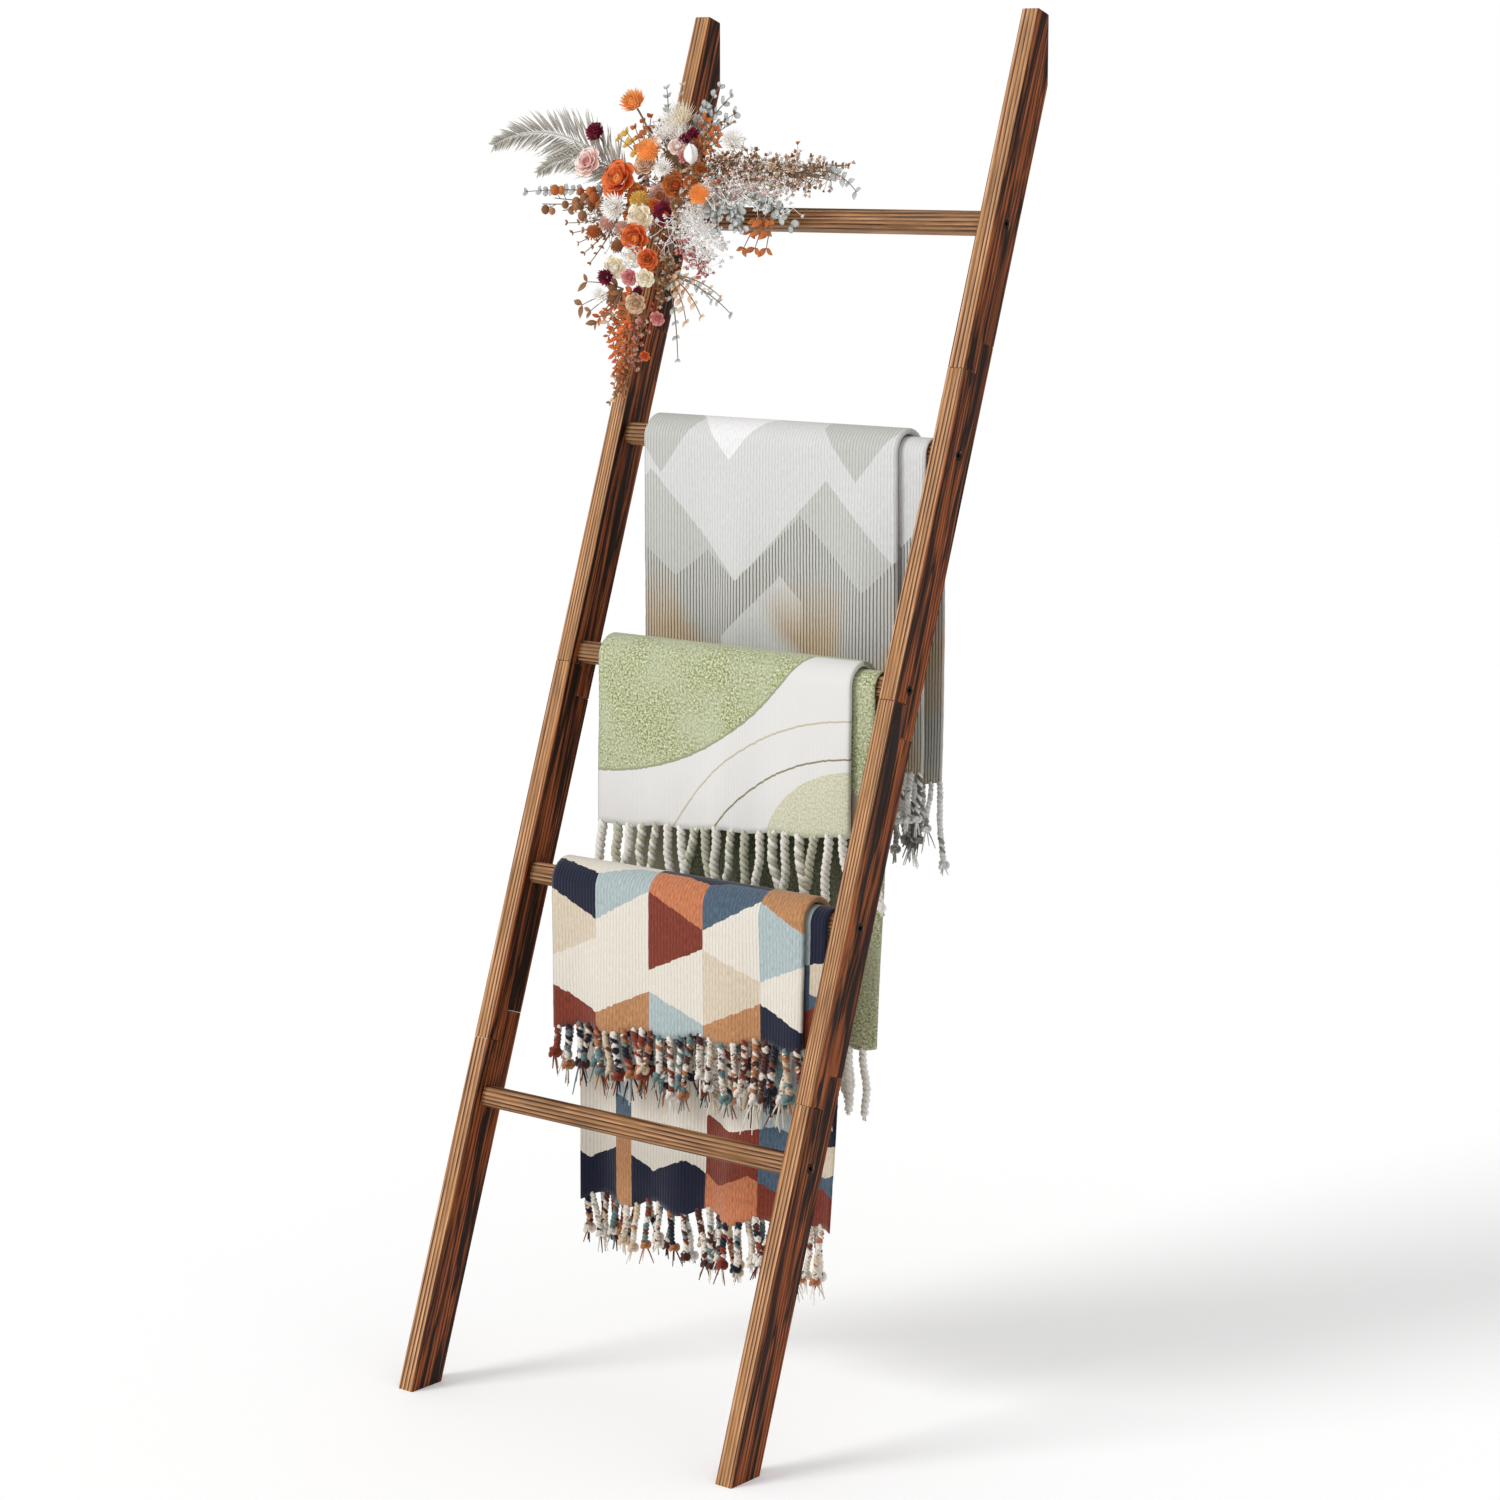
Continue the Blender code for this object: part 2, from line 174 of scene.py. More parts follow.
# %% [markdown]
# The rails and rungs are pine that has been scorched with a flame and then wire-brushed. The
# flame blackens the hard, dense late wood of each growth ring, and the brush scrubs the soft
# early wood back to caramel, leaving it a little lower. What the eye gets is close dark lines
# that run the length of the bar on the faces cut across the rings, arches and smoky patches on
# the faces cut along them, and a satin sheen from wax.
#
# Growth rings are cylinders round the heart of the tree, so one ring pattern in space gives both
# looks for free: the heart is put beside the bar, and each face slices the same cylinders at its
# own angle. The pattern is squeezed along the bar so that its wobble is long and slow, and each
# board gets its own heart position, because no two come from the same place in a log.

# %% Burnt and brushed pine
LEAN = math.radians(19.0)
RAIL_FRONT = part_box("left_rail_foot")[0].y  # the front edge of a rail where it meets the floor
WAVE_UNITS = 20.0  # the ring pattern counts this many radians for each unit of its scale
SLOW_ALONG = 0.07  # grain wanders far more slowly along a board than across it
RING_TONES = [
    (0.0, "#e3b78d"), (0.28, "#d39f72"), (0.5, "#b98154"),
    (0.68, "#6f3d1f"), (0.9, "#3a190b"), (1.0, "#cb976a"),
]
# The second colour reddens the sides of each bar, which paints their shade as well as their burn.
WORN_TONE, SIDE_SHADE_TINT = "#b5814f", "#e8aa80"


def spread_noise(tree, space, noise, low, high, dark, light):
    """A noise, and the same noise stretched from the span low to high onto dark to light."""
    source = add(tree, "TexNoise", {"Vector": space, **noise})
    span = {"Value": source, "From Min": low, "From Max": high, "To Min": dark, "To Max": light}
    return source, add(tree, "MapRange", span)


def burnt_pine(name, along, heart, ring_mm, facing_light, shaded_scorched_sides, seed):
    material, tree, surface = new_material(name)
    place = add(tree, "TexCoord")
    upright = add(tree, "Mapping", {"Vector": place.outputs["Object"], "Rotation": (LEAN, 0.0, 0.0)})
    squeeze = [1.0, 1.0, 1.0]
    squeeze["XYZ".index(along)] = SLOW_ALONG
    moved = [-h * q for h, q in zip(heart, squeeze)]
    log_space = add(tree, "Mapping", {"Vector": upright, "Scale": squeeze, "Location": moved})
    ring_scale = 2 * math.pi / (WAVE_UNITS * ring_mm / 1000)
    wander = {"Distortion": 8.5, "Detail": 2.0, "Detail Scale": 0.32, "Phase Offset": seed}
    rings = add(
        tree, "TexWave", {"Vector": log_space, "Scale": ring_scale, **wander},
        wave_type="RINGS", rings_direction=along, wave_profile="SAW",
    ).outputs["Fac"]
    grain = add(tree, "ValToRGB", {"Fac": rings})
    set_stops(grain, RING_TONES)
    _, faint = spread_noise(tree, log_space, {"Scale": 190.0, "Detail": 1.0}, 0.36, 0.58, 0.35, 1.0)
    ringed = add(tree, "Mix", {"Factor": faint, "A": colour(WORN_TONE), "B": grain}, data_type="RGBA")
    fine = {"Scale": 330.0, "Detail": 4.0, "Roughness": 0.75}
    fibres, fibre_tone = spread_noise(tree, log_space, fine, 0.32, 0.68, 0.68, 1.2)
    smoky = {"Scale": 60.0, "Detail": 3.0, "Roughness": 0.6, "Distortion": 1.8}
    smoke, face_tone = spread_noise(
        tree, log_space, smoky, 0.36, 0.66, 1.12 * facing_light, 0.66 * facing_light
    )
    # Faces that point along the wall, the sides of each bar, are drawn darker than the fronts: painted shade
    # of the sides, with the smoky burn blackening them further in patches.
    side_span = {"Value": smoke, "From Min": 0.42, "From Max": 0.57}
    side_shade_and_burn = add(tree, "MapRange", {**side_span, "To Min": shaded_scorched_sides, "To Max": 0.04})
    face = add(tree, "NewGeometry")
    facing = add(tree, "SeparateXYZ", {"Vector": face.outputs["Normal"]})
    sideways = add(tree, "Math", {0: facing}, operation="ABSOLUTE")
    shaded_side = add(tree, "MapRange", {"Value": sideways, "From Min": 0.5, "From Max": 0.85})
    burn_and_side_shade = add(tree, "Mix", {"Factor": shaded_side, "A": face_tone, "B": side_shade_and_burn}, data_type="FLOAT")
    tone = add(tree, "Math", {0: fibre_tone, 1: burn_and_side_shade}, operation="MULTIPLY")
    toned = add(tree, "VectorMath", {0: ringed, "Scale": tone}, operation="SCALE")
    # The sides are also multiplied by a red-brown tint: painted shade together with burn.
    side_shaded_colour = add(
        tree, "Mix", {"Factor": shaded_side, "A": toned, "B": colour(SIDE_SHADE_TINT)},
        data_type="RGBA", blend_type="MULTIPLY",
    )
    relief = add(tree, "Mix", {"Factor": 0.35, "A": rings, "B": fibres}, data_type="FLOAT")
    brushed = add(tree, "Bump", {"Height": relief, "Strength": 0.25, "Distance": 0.0005})
    shine = add(tree, "MapRange", {"Value": rings, "To Min": 0.68, "To Max": 0.52})
    fill(surface, {"Base Color": side_shaded_colour, "Normal": brushed, "Roughness": shine})
    fill(surface, {"IOR": 1.5, "Specular IOR Level": 0.2})
    return material


def dress(node, material):
    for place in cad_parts[node].material_slots:
        place.material = material


# Rings are a little coarser than the timber's, so that the lines show. The last two numbers are how bright
# the faces are and how bright the sides are where the smoky burn is lightest; the sides stay darker than the
# faces there, which is painted shade.
RAIL_LOOK = (3.9, 0.97, 0.7)
RUNG_LOOK = (4.4, 0.7, 0.76)
FRONT_FACE = RAIL_FRONT * math.cos(LEAN)
FLAT_SAWN = (3, 6)  # boards whose sides were cut along the rings and show arches
HEART_RIGHT, HEART_LEFT = 0.060, -0.056  # the heart of the tree lies right or left of a board
SECTIONS = ("foot", "lower", "upper", "top")
RAIL_SECTIONS = [side + "_rail_" + part for side in ("left", "right") for part in SECTIONS]
for board, node in enumerate(RAIL_SECTIONS, 1):
    low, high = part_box(node)
    away = HEART_RIGHT if board % 2 else HEART_LEFT
    deep = 0.016 if board in FLAT_SAWN else -0.045
    heart = ((low.x + high.x) / 2 + away, FRONT_FACE + deep, 0.41 * board)
    dress(node, burnt_pine("burnt_pine_" + node, "Z", heart, *RAIL_LOOK, 1.7 * board))
for rung in range(1, 6):
    node = "rung_" + str(rung)
    low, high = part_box(node)
    up_rail = (low.z + high.z) / 2 * math.cos(LEAN) + (low.y + high.y) / 2 * math.sin(LEAN)
    heart = (0.37 * rung, FRONT_FACE + 0.03, up_rail - 0.05 - 0.006 * rung)
    dress(node, burnt_pine("burnt_pine_" + node, "X", heart, *RUNG_LOOK, 0.9 * rung))
print("wooden parts dressed:", len(RAIL_SECTIONS) + 5)


# %% [markdown]
# Each throw is one piece of cotton, folded in three across its width and hung over its rung. On
# the real rack the outer third faces forward, its right edge is a soft fold, and the innermost
# third peeps out beside it by three centimetres with a dark crease between.
#
# The cloth could be three loose panels, but then the fold would show a gap from the side. Here
# the folded cross-section is drawn once, as one line that runs out, back and out again, and is
# swept over the rung from the front hem to the back hem, so it is one sheet as in life. Where
# the cloth goes comes from the CAD boxes of the rung and the fringes, and from the edges listed
# for each throw.

# %% The three throws and how they are folded
CLOTH_THICKNESS = 0.0016
LAYER_RADII = (0.0256, 0.0208, 0.0167)  # outer, middle and inner third, from the rung's centre
FOLD_STEPS = 5
CLOTH_STEP = 0.005
ARC_ROWS = 14
BAR_STEP = 0.008

THROWS = {
    "upper": dict(rung=2, outer=(-0.178, 0.1760), inner=(-0.1838, 0.2115), slant=(0.0, 0.0),
                  ripple=(0.002, 0.003), narrow=0.0, folds=0.0032, seed=3),
    "middle": dict(rung=3, outer=(-0.176, 0.1800), inner=(-0.1720, 0.2115), slant=(0.070, 0.04),
                   ripple=(0.0015, 0.003), narrow=0.055, folds=0.0030, seed=8),
    "lower": dict(rung=4, outer=(-0.174, 0.1830), inner=(-0.1700, 0.2115), slant=(0.078, 0.06),
                  ripple=(0.0035, 0.006), narrow=0.06, folds=0.0036, seed=5),
}


def cross_section(throw):
    """Points (across, x, radius) of the folded edge, from the outer free edge to the inner one."""
    outer, middle, inner = LAYER_RADII
    left, right = throw["outer"]
    inner_left, inner_right = throw["inner"]
    bend_right, bend_left = (outer - middle) / 2, (middle - inner) / 2
    line = [(x, outer) for x in np.arange(left, right - bend_right, CLOTH_STEP)]
    turns = [math.pi * k / FOLD_STEPS for k in range(FOLD_STEPS + 1)]
    for turn in turns:
        line.append((right - bend_right * (1 - math.sin(turn)), middle + bend_right * (1 + math.cos(turn))))
    line += [(x, middle) for x in np.arange(right - 2 * bend_right, inner_left + bend_left, -CLOTH_STEP)]
    for turn in turns:
        outwards = inner + bend_left * (1 + math.cos(turn))
        line.append((inner_left + bend_left * (1 - math.sin(turn)), outwards))
    line += [(x, inner) for x in np.arange(inner_left + 2 * bend_left, inner_right, CLOTH_STEP)]
    points, across = [], 0.0
    for k, (x, radius) in enumerate(line):
        if k:
            across += math.dist(line[k - 1], line[k])
        points.append((across, x, radius))
    return points


def measure_hang(name, throw):
    """Where the cloth hangs, from the CAD boxes."""
    low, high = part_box("rung_" + str(throw["rung"]))
    throw["axis"] = ((low.y + high.y) / 2, (low.z + high.z) / 2)
    throw["hems"] = [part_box(name + "_fringe_" + side)[1].z for side in ("front", "back")]
    throw["rows"] = [int((throw["axis"][1] - hem) / BAR_STEP) for hem in throw["hems"]]


def hem_height(throw, side, x):
    wave = throw["ripple"][side] * math.sin(2 * math.pi * x / 0.083 + throw["seed"] + side)
    return throw["hems"][side] + throw["slant"][side] * x + wave


def on_path(throw, x, row, radius):
    """Place, outward direction and height above the nearest hem's middle, by row from the front hem."""
    y_axis, z_axis = throw["axis"]
    front, back = throw["rows"]
    if row <= front:
        hem = hem_height(throw, 0, x)
        z = hem + (z_axis - hem) * row / front
        return (x, y_axis - radius, z), (0, -1, 0), z - throw["hems"][0]
    if row <= front + ARC_ROWS:
        turn = math.pi * (row - front) / ARC_ROWS
        side = 0 if turn < math.pi / 2 else 1
        climb = min(turn, math.pi - turn) * radius
        place = (x, y_axis - radius * math.cos(turn), z_axis + radius * math.sin(turn))
        return place, (0, -math.cos(turn), math.sin(turn)), z_axis - throw["hems"][side] + climb
    hem = hem_height(throw, 1, x)
    down = (row - front - ARC_ROWS) / back
    z = z_axis - (z_axis - hem) * down
    pulled_in = 1 - throw["narrow"] * down
    left = throw["inner"][0]
    return (left + (x - left) * pulled_in, y_axis + radius, z), (0, 1, 0), z - throw["hems"][1]


for name, throw in THROWS.items():
    measure_hang(name, throw)
    throw["edge"] = cross_section(throw)
    print(name, "throw unfolds to", round(throw["edge"][-1][0], 3), "m wide")

# %% [markdown]
# Hanging cotton isn't flat. It has soft upright folds that start at the rung and deepen towards
# the hem. A cloth simulation finds them: a single sheet with a little spare width is pinned where
# the rung carries it and left to hang under gravity. What it gives is a field of small
# movements, and all three layers of the throw follow the same field, so they can never cross.

# %% Let one sheet of each throw hang
FALL_FRAMES = 22
LIMIT_MOVE = 0.007
SHEET_RIGHT = 0.222
COTTON = dict(quality=6, mass=0.002, tension_stiffness=25, compression_stiffness=25,
              shear_stiffness=10, bending_stiffness=0.8, air_damping=3)


def grid_faces(columns, rows):
    corner = np.arange(columns * rows).reshape(columns, rows)
    faces = np.stack([corner[:-1, :-1], corner[1:, :-1], corner[1:, 1:], corner[:-1, 1:]], -1)
    return corner, faces.reshape(-1, 4)


def start_folds(throw, x, row):
    front, back = throw["rows"]
    side = 0 if row < front + ARC_ROWS / 2 else 1
    steps = front - row if side == 0 else row - front - ARC_ROWS
    if steps <= 0:
        return 0.0
    drop = steps * BAR_STEP
    grow = 1 - math.exp(-drop / 0.11)
    s = throw["seed"] + 2.1 * side
    bend = math.sin(2 * math.pi * x / 0.145 + s) + 0.6 * math.sin(2 * math.pi * x / 0.088 + 1.7 * s)
    bend += 0.5 * math.sin(2 * math.pi * x / 0.23 + 2.9 * s + drop * 4)
    return throw["folds"] * grow * bend * (1.0 if side == 0 else 1.5)


def hang_sheet(name, throw):
    rows = sum(throw["rows"]) + ARC_ROWS + 1
    xs = np.arange(throw["inner"][0] - 0.004, SHEET_RIGHT, BAR_STEP)
    radius = LAYER_RADII[1]
    flat = np.zeros((len(xs), rows, 3))
    start = np.zeros((len(xs), rows, 3))
    for i, x in enumerate(xs):
        for row in range(rows):
            place, outward, _ = on_path(throw, x, row, radius)
            flat[i, row] = place
            start[i, row] = np.array(place) + np.array(outward) * start_folds(throw, x, row)
    corner, faces = grid_faces(len(xs), rows)
    mesh = bpy.data.meshes.new(name + "_hanging")
    mesh.from_pydata(start.reshape(-1, 3).tolist(), [], faces.tolist())
    sheet = link_object(name + "_hanging", mesh)
    carried = sheet.vertex_groups.new(name="carried_by_rung")
    first, last = throw["rows"][0], throw["rows"][0] + ARC_ROWS
    held = [int(corner[i, row]) for i in range(len(xs)) for row in range(first, last + 1)]
    carried.add(held, 1.0, "REPLACE")
    cloth = sheet.modifiers.new("Cloth", "CLOTH")
    for setting, value in COTTON.items():
        setattr(cloth.settings, setting, value)
    cloth.settings.vertex_group_mass = carried.name
    cloth.collision_settings.use_collision = False
    cloth.point_cache.frame_start = 1
    cloth.point_cache.frame_end = FALL_FRAMES
    scene = bpy.context.scene
    for step in range(1, FALL_FRAMES + 1):
        scene.frame_set(step)
    settled = sheet.evaluated_get(bpy.context.evaluated_depsgraph_get()).to_mesh()
    fallen = np.zeros(len(settled.vertices) * 3)
    settled.vertices.foreach_get("co", fallen)
    bpy.data.objects.remove(sheet)
    bpy.data.meshes.remove(mesh)
    scene.frame_set(1)
    move = fallen.reshape(len(xs), rows, 3) - flat
    size = np.linalg.norm(move, axis=-1, keepdims=True)
    print(name, "sheet settled, largest move", round(float(size.max()) * 1000, 1), "mm")
    return xs, move * np.minimum(1.0, LIMIT_MOVE / np.maximum(size, 1e-6))


def cloth_point(throw, x, row, radius):
    """A point of the hanging cloth: the clean path plus the settled fold at that place."""
    place, outward, height = on_path(throw, x, row, radius)
    xs, move = throw["folds_found"]
    whole = min(int(row), move.shape[1] - 2)
    part = row - whole
    column = min(max((x - xs[0]) / BAR_STEP, 0), len(xs) - 1.001)
    i, f = int(column), column - int(column)
    above = move[i, whole] * (1 - f) + move[i + 1, whole] * f
    below = move[i, whole + 1] * (1 - f) + move[i + 1, whole + 1] * f
    return np.array(place) + above * (1 - part) + below * part, outward, height


for name, throw in THROWS.items():
    throw["folds_found"] = hang_sheet(name, throw)

# %% [markdown]
# Now the visible cloth. Its flat coordinates are stored as a UV map in real metres: how far
# across the unfolded cloth, and how far above the nearest hem, with 1 added on the back half so
# that a pattern can tell the two ends apart. Woven patterns are drawn from those two numbers.

# %% Sweep each folded throw over its rung
BACK_MARK = 1.0
BACK_FROM = 0.95  # a height above this one carries the mark


def build_throw(name, throw):
    rows = sum(throw["rows"]) + ARC_ROWS + 1
    top = throw["rows"][0] + ARC_ROWS / 2
    points, flat_places = [], []
    for across, x, radius in throw["edge"]:
        for row in range(rows):
            place, _, height = cloth_point(throw, x, row, radius)
            points.append(place.tolist())
            flat_places.append((across, height + (BACK_MARK if row > top else 0.0)))
    _, faces = grid_faces(len(throw["edge"]), rows)
    mesh = bpy.data.meshes.new(name + "_cotton_throw")
    mesh.from_pydata(points, [], faces.tolist())
    cloth_map = mesh.uv_layers.new(name="cloth")
    top_row = int(math.floor(top))
    for face in mesh.polygons:
        crosses = any(v % rows == top_row for v in face.vertices) and any(
            v % rows == top_row + 1 for v in face.vertices
        )
        for loop in face.loop_indices:
            vertex = mesh.loops[loop].vertex_index
            across, height = flat_places[vertex]
            if crosses and height > BACK_MARK:
                height -= BACK_MARK
            cloth_map.data[loop].uv = (across, height)
    mesh.shade_smooth()
    piece = link_object(name + "_cotton_throw", mesh)
    body = piece.modifiers.new("Cloth thickness", "SOLIDIFY")
    body.thickness = CLOTH_THICKNESS
    body.offset = 0.0
    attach(piece, name + "_throw")
    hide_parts(name + "_throw")
    print(piece.name, len(points), "points")
    return piece


throw_pieces = {name: build_throw(name, throw) for name, throw in THROWS.items()}

# %% [markdown]
# All three throws are woven cotton with a fine upright rib, so they share one start: the rib
# relief, a slubby unevenness of the yarn, a rough surface with almost no gloss, and a little
# sheen from the fuzz that every cotton has. Each throw then adds its own colours. The rib also
# nudges the edge of every colour up or down a millimetre or two, thread by thread, which is how
# a woven pattern steps.

# %% Ribbed cotton, without its colours
def ribbed_cotton(name, rib_mm, rib_depth_mm, step_mm):
    material, tree, surface = new_material(name)
    flat = add(tree, "UVMap", uv_map="cloth")
    split = add(tree, "SeparateXYZ", {"Vector": flat})
    count = add(tree, "Math", {0: split, 1: 1000 / rib_mm}, operation="MULTIPLY")
    within = add(tree, "Math", {0: count, 1: 0.5}, operation="PINGPONG")
    groove = {"Value": within, "From Min": 0.02, "From Max": 0.3}
    crest = add(tree, "MapRange", groove, interpolation_type="SMOOTHSTEP")
    thread = add(tree, "Math", {0: count}, operation="FLOOR")
    chance = add(tree, "TexWhiteNoise", {"W": thread}, noise_dimensions="1D")
    step = step_mm / 1000
    nudge = add(tree, "MapRange", {"Value": chance, "To Min": -step, "To Max": step})
    up = split.outputs["Y"]
    turned = add(tree, "Math", {0: up, 1: BACK_FROM}, operation="GREATER_THAN")
    raw_height = add(tree, "Math", {0: up, 1: turned}, operation="SUBTRACT")
    height = add(tree, "Math", {0: raw_height, 1: nudge}, operation="ADD")
    threads = add(tree, "Mapping", {"Vector": flat, "Scale": (560.0, 150.0, 1.0)})
    slub = add(tree, "TexNoise", {"Vector": threads, "Scale": 1.0, "Detail": 2.0})
    weft = {"Vector": flat, "Scale": 120.0, "Distortion": 3.0, "Detail Scale": 2.0}
    crossing = add(tree, "TexWave", weft, bands_direction="Y").outputs["Fac"]
    weave = add(tree, "Mix", {"Factor": 0.5, "A": slub, "B": crossing}, data_type="FLOAT")
    relief = add(tree, "Mix", {"Factor": 0.3, "A": crest, "B": weave}, data_type="FLOAT")
    bump = add(tree, "Bump", {"Height": relief, "Strength": 0.8, "Distance": rib_depth_mm / 1000})
    fill(surface, {"Normal": bump, "Roughness": 0.92, "Specular IOR Level": 0.2})
    fill(surface, {"Sheen Weight": 0.25, "Sheen Roughness": 0.5})
    return material, {
        "tree": tree, "surface": surface, "uv": flat, "across": split.outputs["X"], "height": height,
        "back": turned, "crest": crest, "slub": slub,
    }


def every(tree, *tests):
    """1 where all tests hold. A test is a mask, or a maths operation and its values."""
    held = None
    for test in tests:
        if isinstance(test, tuple):
            test = add(tree, "Math", dict(enumerate(test[1:])), operation=test[0])
        held = test if held is None else add(tree, "Math", {0: held, 1: test}, operation="MULTIPLY")
    return held


def total(tree, parts):
    summed = parts[0]
    for part in parts[1:]:
        summed = add(tree, "Math", {0: summed, 1: part}, operation="ADD")
    return summed


def above_zigzag(cloth, origin, half_period, low, swing, slope=0.0):
    """1 where the cloth is above a zigzag line that is at its low height at origin, in metres."""
    tree = cloth["tree"]
    place = add(tree, "Math", {0: cloth["across"], 1: origin}, operation="SUBTRACT")
    count = add(tree, "Math", {0: place, 1: half_period}, operation="DIVIDE")
    climb = add(tree, "Math", {0: count, 1: 1.0}, operation="PINGPONG")
    line = add(tree, "Math", {0: climb, 1: swing, 2: low}, operation="MULTIPLY_ADD")
    tilt = add(tree, "Math", {0: cloth["across"], 1: slope, 2: line}, operation="MULTIPLY_ADD")
    return add(tree, "Math", {0: cloth["height"], 1: tilt}, operation="GREATER_THAN")


def blend(tree, share, under, over):
    return add(tree, "Mix", {"Factor": share, "A": under, "B": over}, data_type="RGBA")


def dim(tree, paint, tone):
    return add(tree, "VectorMath", {0: paint, "Scale": tone}, operation="SCALE")


def lay_colours(cloth, ground, ground_line, areas):
    """Paints each (mask, face colour, groove colour) over the last, then mixes both by the rib. Darker
    groove colours paint shade into the grooves as well as the threads woven there.
    """
    tree = cloth["tree"]
    face, groove = colour(ground), colour(ground_line)
    for mask, face_code, groove_code in areas:
        face = blend(tree, mask, face, colour(face_code))
        groove = blend(tree, mask, groove, colour(groove_code))
    ribbed = blend(tree, cloth["crest"], groove, face)
    yarn_span = {"Value": cloth["slub"], "From Min": 0.3, "From Max": 0.7, "To Min": 0.93, "To Max": 1.05}
    tone = add(tree, "MapRange", yarn_span)
    fill(cloth["surface"], {"Base Color": dim(tree, ribbed, tone)})

# %% [markdown]
# The upper throw is off-white with broad zigzags in shades of grey, one over another like hills,
# going to taupe and a touch of mustard near the hem. The greys are woven by letting dark warp
# threads into the grooves of the rib, so in the greys the grooves are drawn much darker than the
# crests. Everywhere else the grooves are drawn a little darker too, which is painted shade in the rib.

# %% Upper throw: white and grey zigzag cotton
cloth_grey, upper = ribbed_cotton("ribbed_cotton_grey_zigzag", rib_mm=4.3, rib_depth_mm=0.5, step_mm=0.6)
tree, across = upper["tree"], upper["across"]
VALLEY = 0.135  # across, from the outer edge to the deepest valley
hill_line = above_zigzag(upper, VALLEY, 0.125, 0.192, 0.119)
tall_hill = above_zigzag(upper, VALLEY, 0.0885, 0.192, 0.078)
small_hill = above_zigzag(upper, VALLEY, 0.045, 0.192, 0.031)
right_part = every(tree, ("GREATER_THAN", across, VALLEY))
both_hills = add(tree, "Mix", {"Factor": right_part, "A": small_hill, "B": tall_hill}, data_type="FLOAT")
soft_drops = [
    every(tree, above_zigzag(upper, origin, half, low, swing), ("COMPARE", across, origin, half))
    for origin, half, low, swing in (
        (0.023, 0.053, 0.307, 0.065), (0.123, 0.055, 0.326, 0.06), (0.301, 0.050, 0.311, 0.058),
    )
]
low_peak = above_zigzag(upper, 0.04, 0.155, 0.06, 0.142)
pale_peak = every(tree, ("SUBTRACT", 1.0, low_peak), ("COMPARE", across, 0.17, 0.055))
near_hem = {"Value": upper["height"], "From Min": 0.205, "From Max": 0.135, "To Min": 0.0, "To Max": 0.95}
patch = add(tree, "TexNoise", {"Vector": upper["uv"], "Scale": 9.0, "Detail": 0.0})
spots = add(tree, "MapRange", {"Value": patch, "From Min": 0.42, "From Max": 0.58})
lay_colours(upper, "#d9d9d8", "#cccdca", [
    (soft_drops[0], "#c6c7c2", "#adafa6"),
    (soft_drops[1], "#efeeee", "#e9e8e8"),
    (soft_drops[2], "#c6c7c2", "#adafa6"),
    (every(tree, ("SUBTRACT", 1.0, hill_line)), "#cbcbc7", "#a5a79e"),
    (every(tree, ("SUBTRACT", 1.0, both_hills)), "#cac9c5", "#5b5c52"),
    (pale_peak, "#d3d4d2", "#bcbeba"),
    (every(tree, add(tree, "MapRange", near_hem), spots), "#d2bda0", "#6a543c"),
])

# %% [markdown]
# The middle throw is off-white too, with one big disc of speckled moss green that runs off its
# top left corner, two thin curved lines and a paler green pool low on the right. Discs and
# curves are drawn the same way: shift and scale the flat cloth so that the ellipse becomes the
# unit circle, then ask how far a point is from the middle.

# %% Middle throw: moss green disc on white cotton
cloth_green, middle = ribbed_cotton("cotton_moss_green_disc", rib_mm=3.6, rib_depth_mm=0.18, step_mm=0.5)
tree, across, height = middle["tree"], middle["across"], middle["height"]
SPECK_MM = 2.8


def from_ellipse(centre, radii):
    """Distance of each point of the flat cloth from an ellipse's middle, 1 on the ellipse itself."""
    raised = add(tree, "CombineXYZ", {"X": across, "Y": height})
    place = {"Vector": raised, "Location": (*centre, 0.0), "Scale": (*radii, 1.0)}
    circle = add(tree, "Mapping", place, vector_type="TEXTURE")
    return add(tree, "VectorMath", {0: circle}, operation="LENGTH")


disc = from_ellipse((-0.014, 0.418), (0.372, 0.368))
tan_arc = from_ellipse((0.376, -0.152), (0.31, 0.292))
olive_arc = from_ellipse((0.376, -0.122), (0.25, 0.221))
pool = from_ellipse((0.376, -0.022), (0.14, 0.108))
inner_third = every(tree, ("GREATER_THAN", across, 0.72))
taupe_front = every(tree, ("LESS_THAN", height, 0.06), ("SUBTRACT", 1.0, middle["back"]), inner_third)
# A band low on the back half, seen through the front fringe, where painted shade goes.
shaded_back_band = every(tree, middle["back"], ("COMPARE", height, 0.13, 0.11))
speckle = {"Vector": middle["uv"], "Scale": 1000 / SPECK_MM, "Detail": 3.0, "Roughness": 0.85}
specks = add(tree, "TexNoise", speckle)
moss = add(tree, "ValToRGB", {"Fac": specks})
mosses = [(0.39, "#636b34"), (0.455, "#949c62"), (0.51, "#b4b98e"), (0.57, "#cdd0b3"), (0.66, "#ebebdc")]
set_stops(moss, mosses)
drift = add(tree, "TexNoise", {"Vector": middle["uv"], "Scale": 14.0, "Detail": 2.0})
paler = add(tree, "MapRange", {"Value": drift, "From Min": 0.4, "From Max": 0.65, "To Max": 0.55})
drifted = blend(tree, paler, moss, colour("#c0c4a8"))
painted = colour("#e1dfdc")
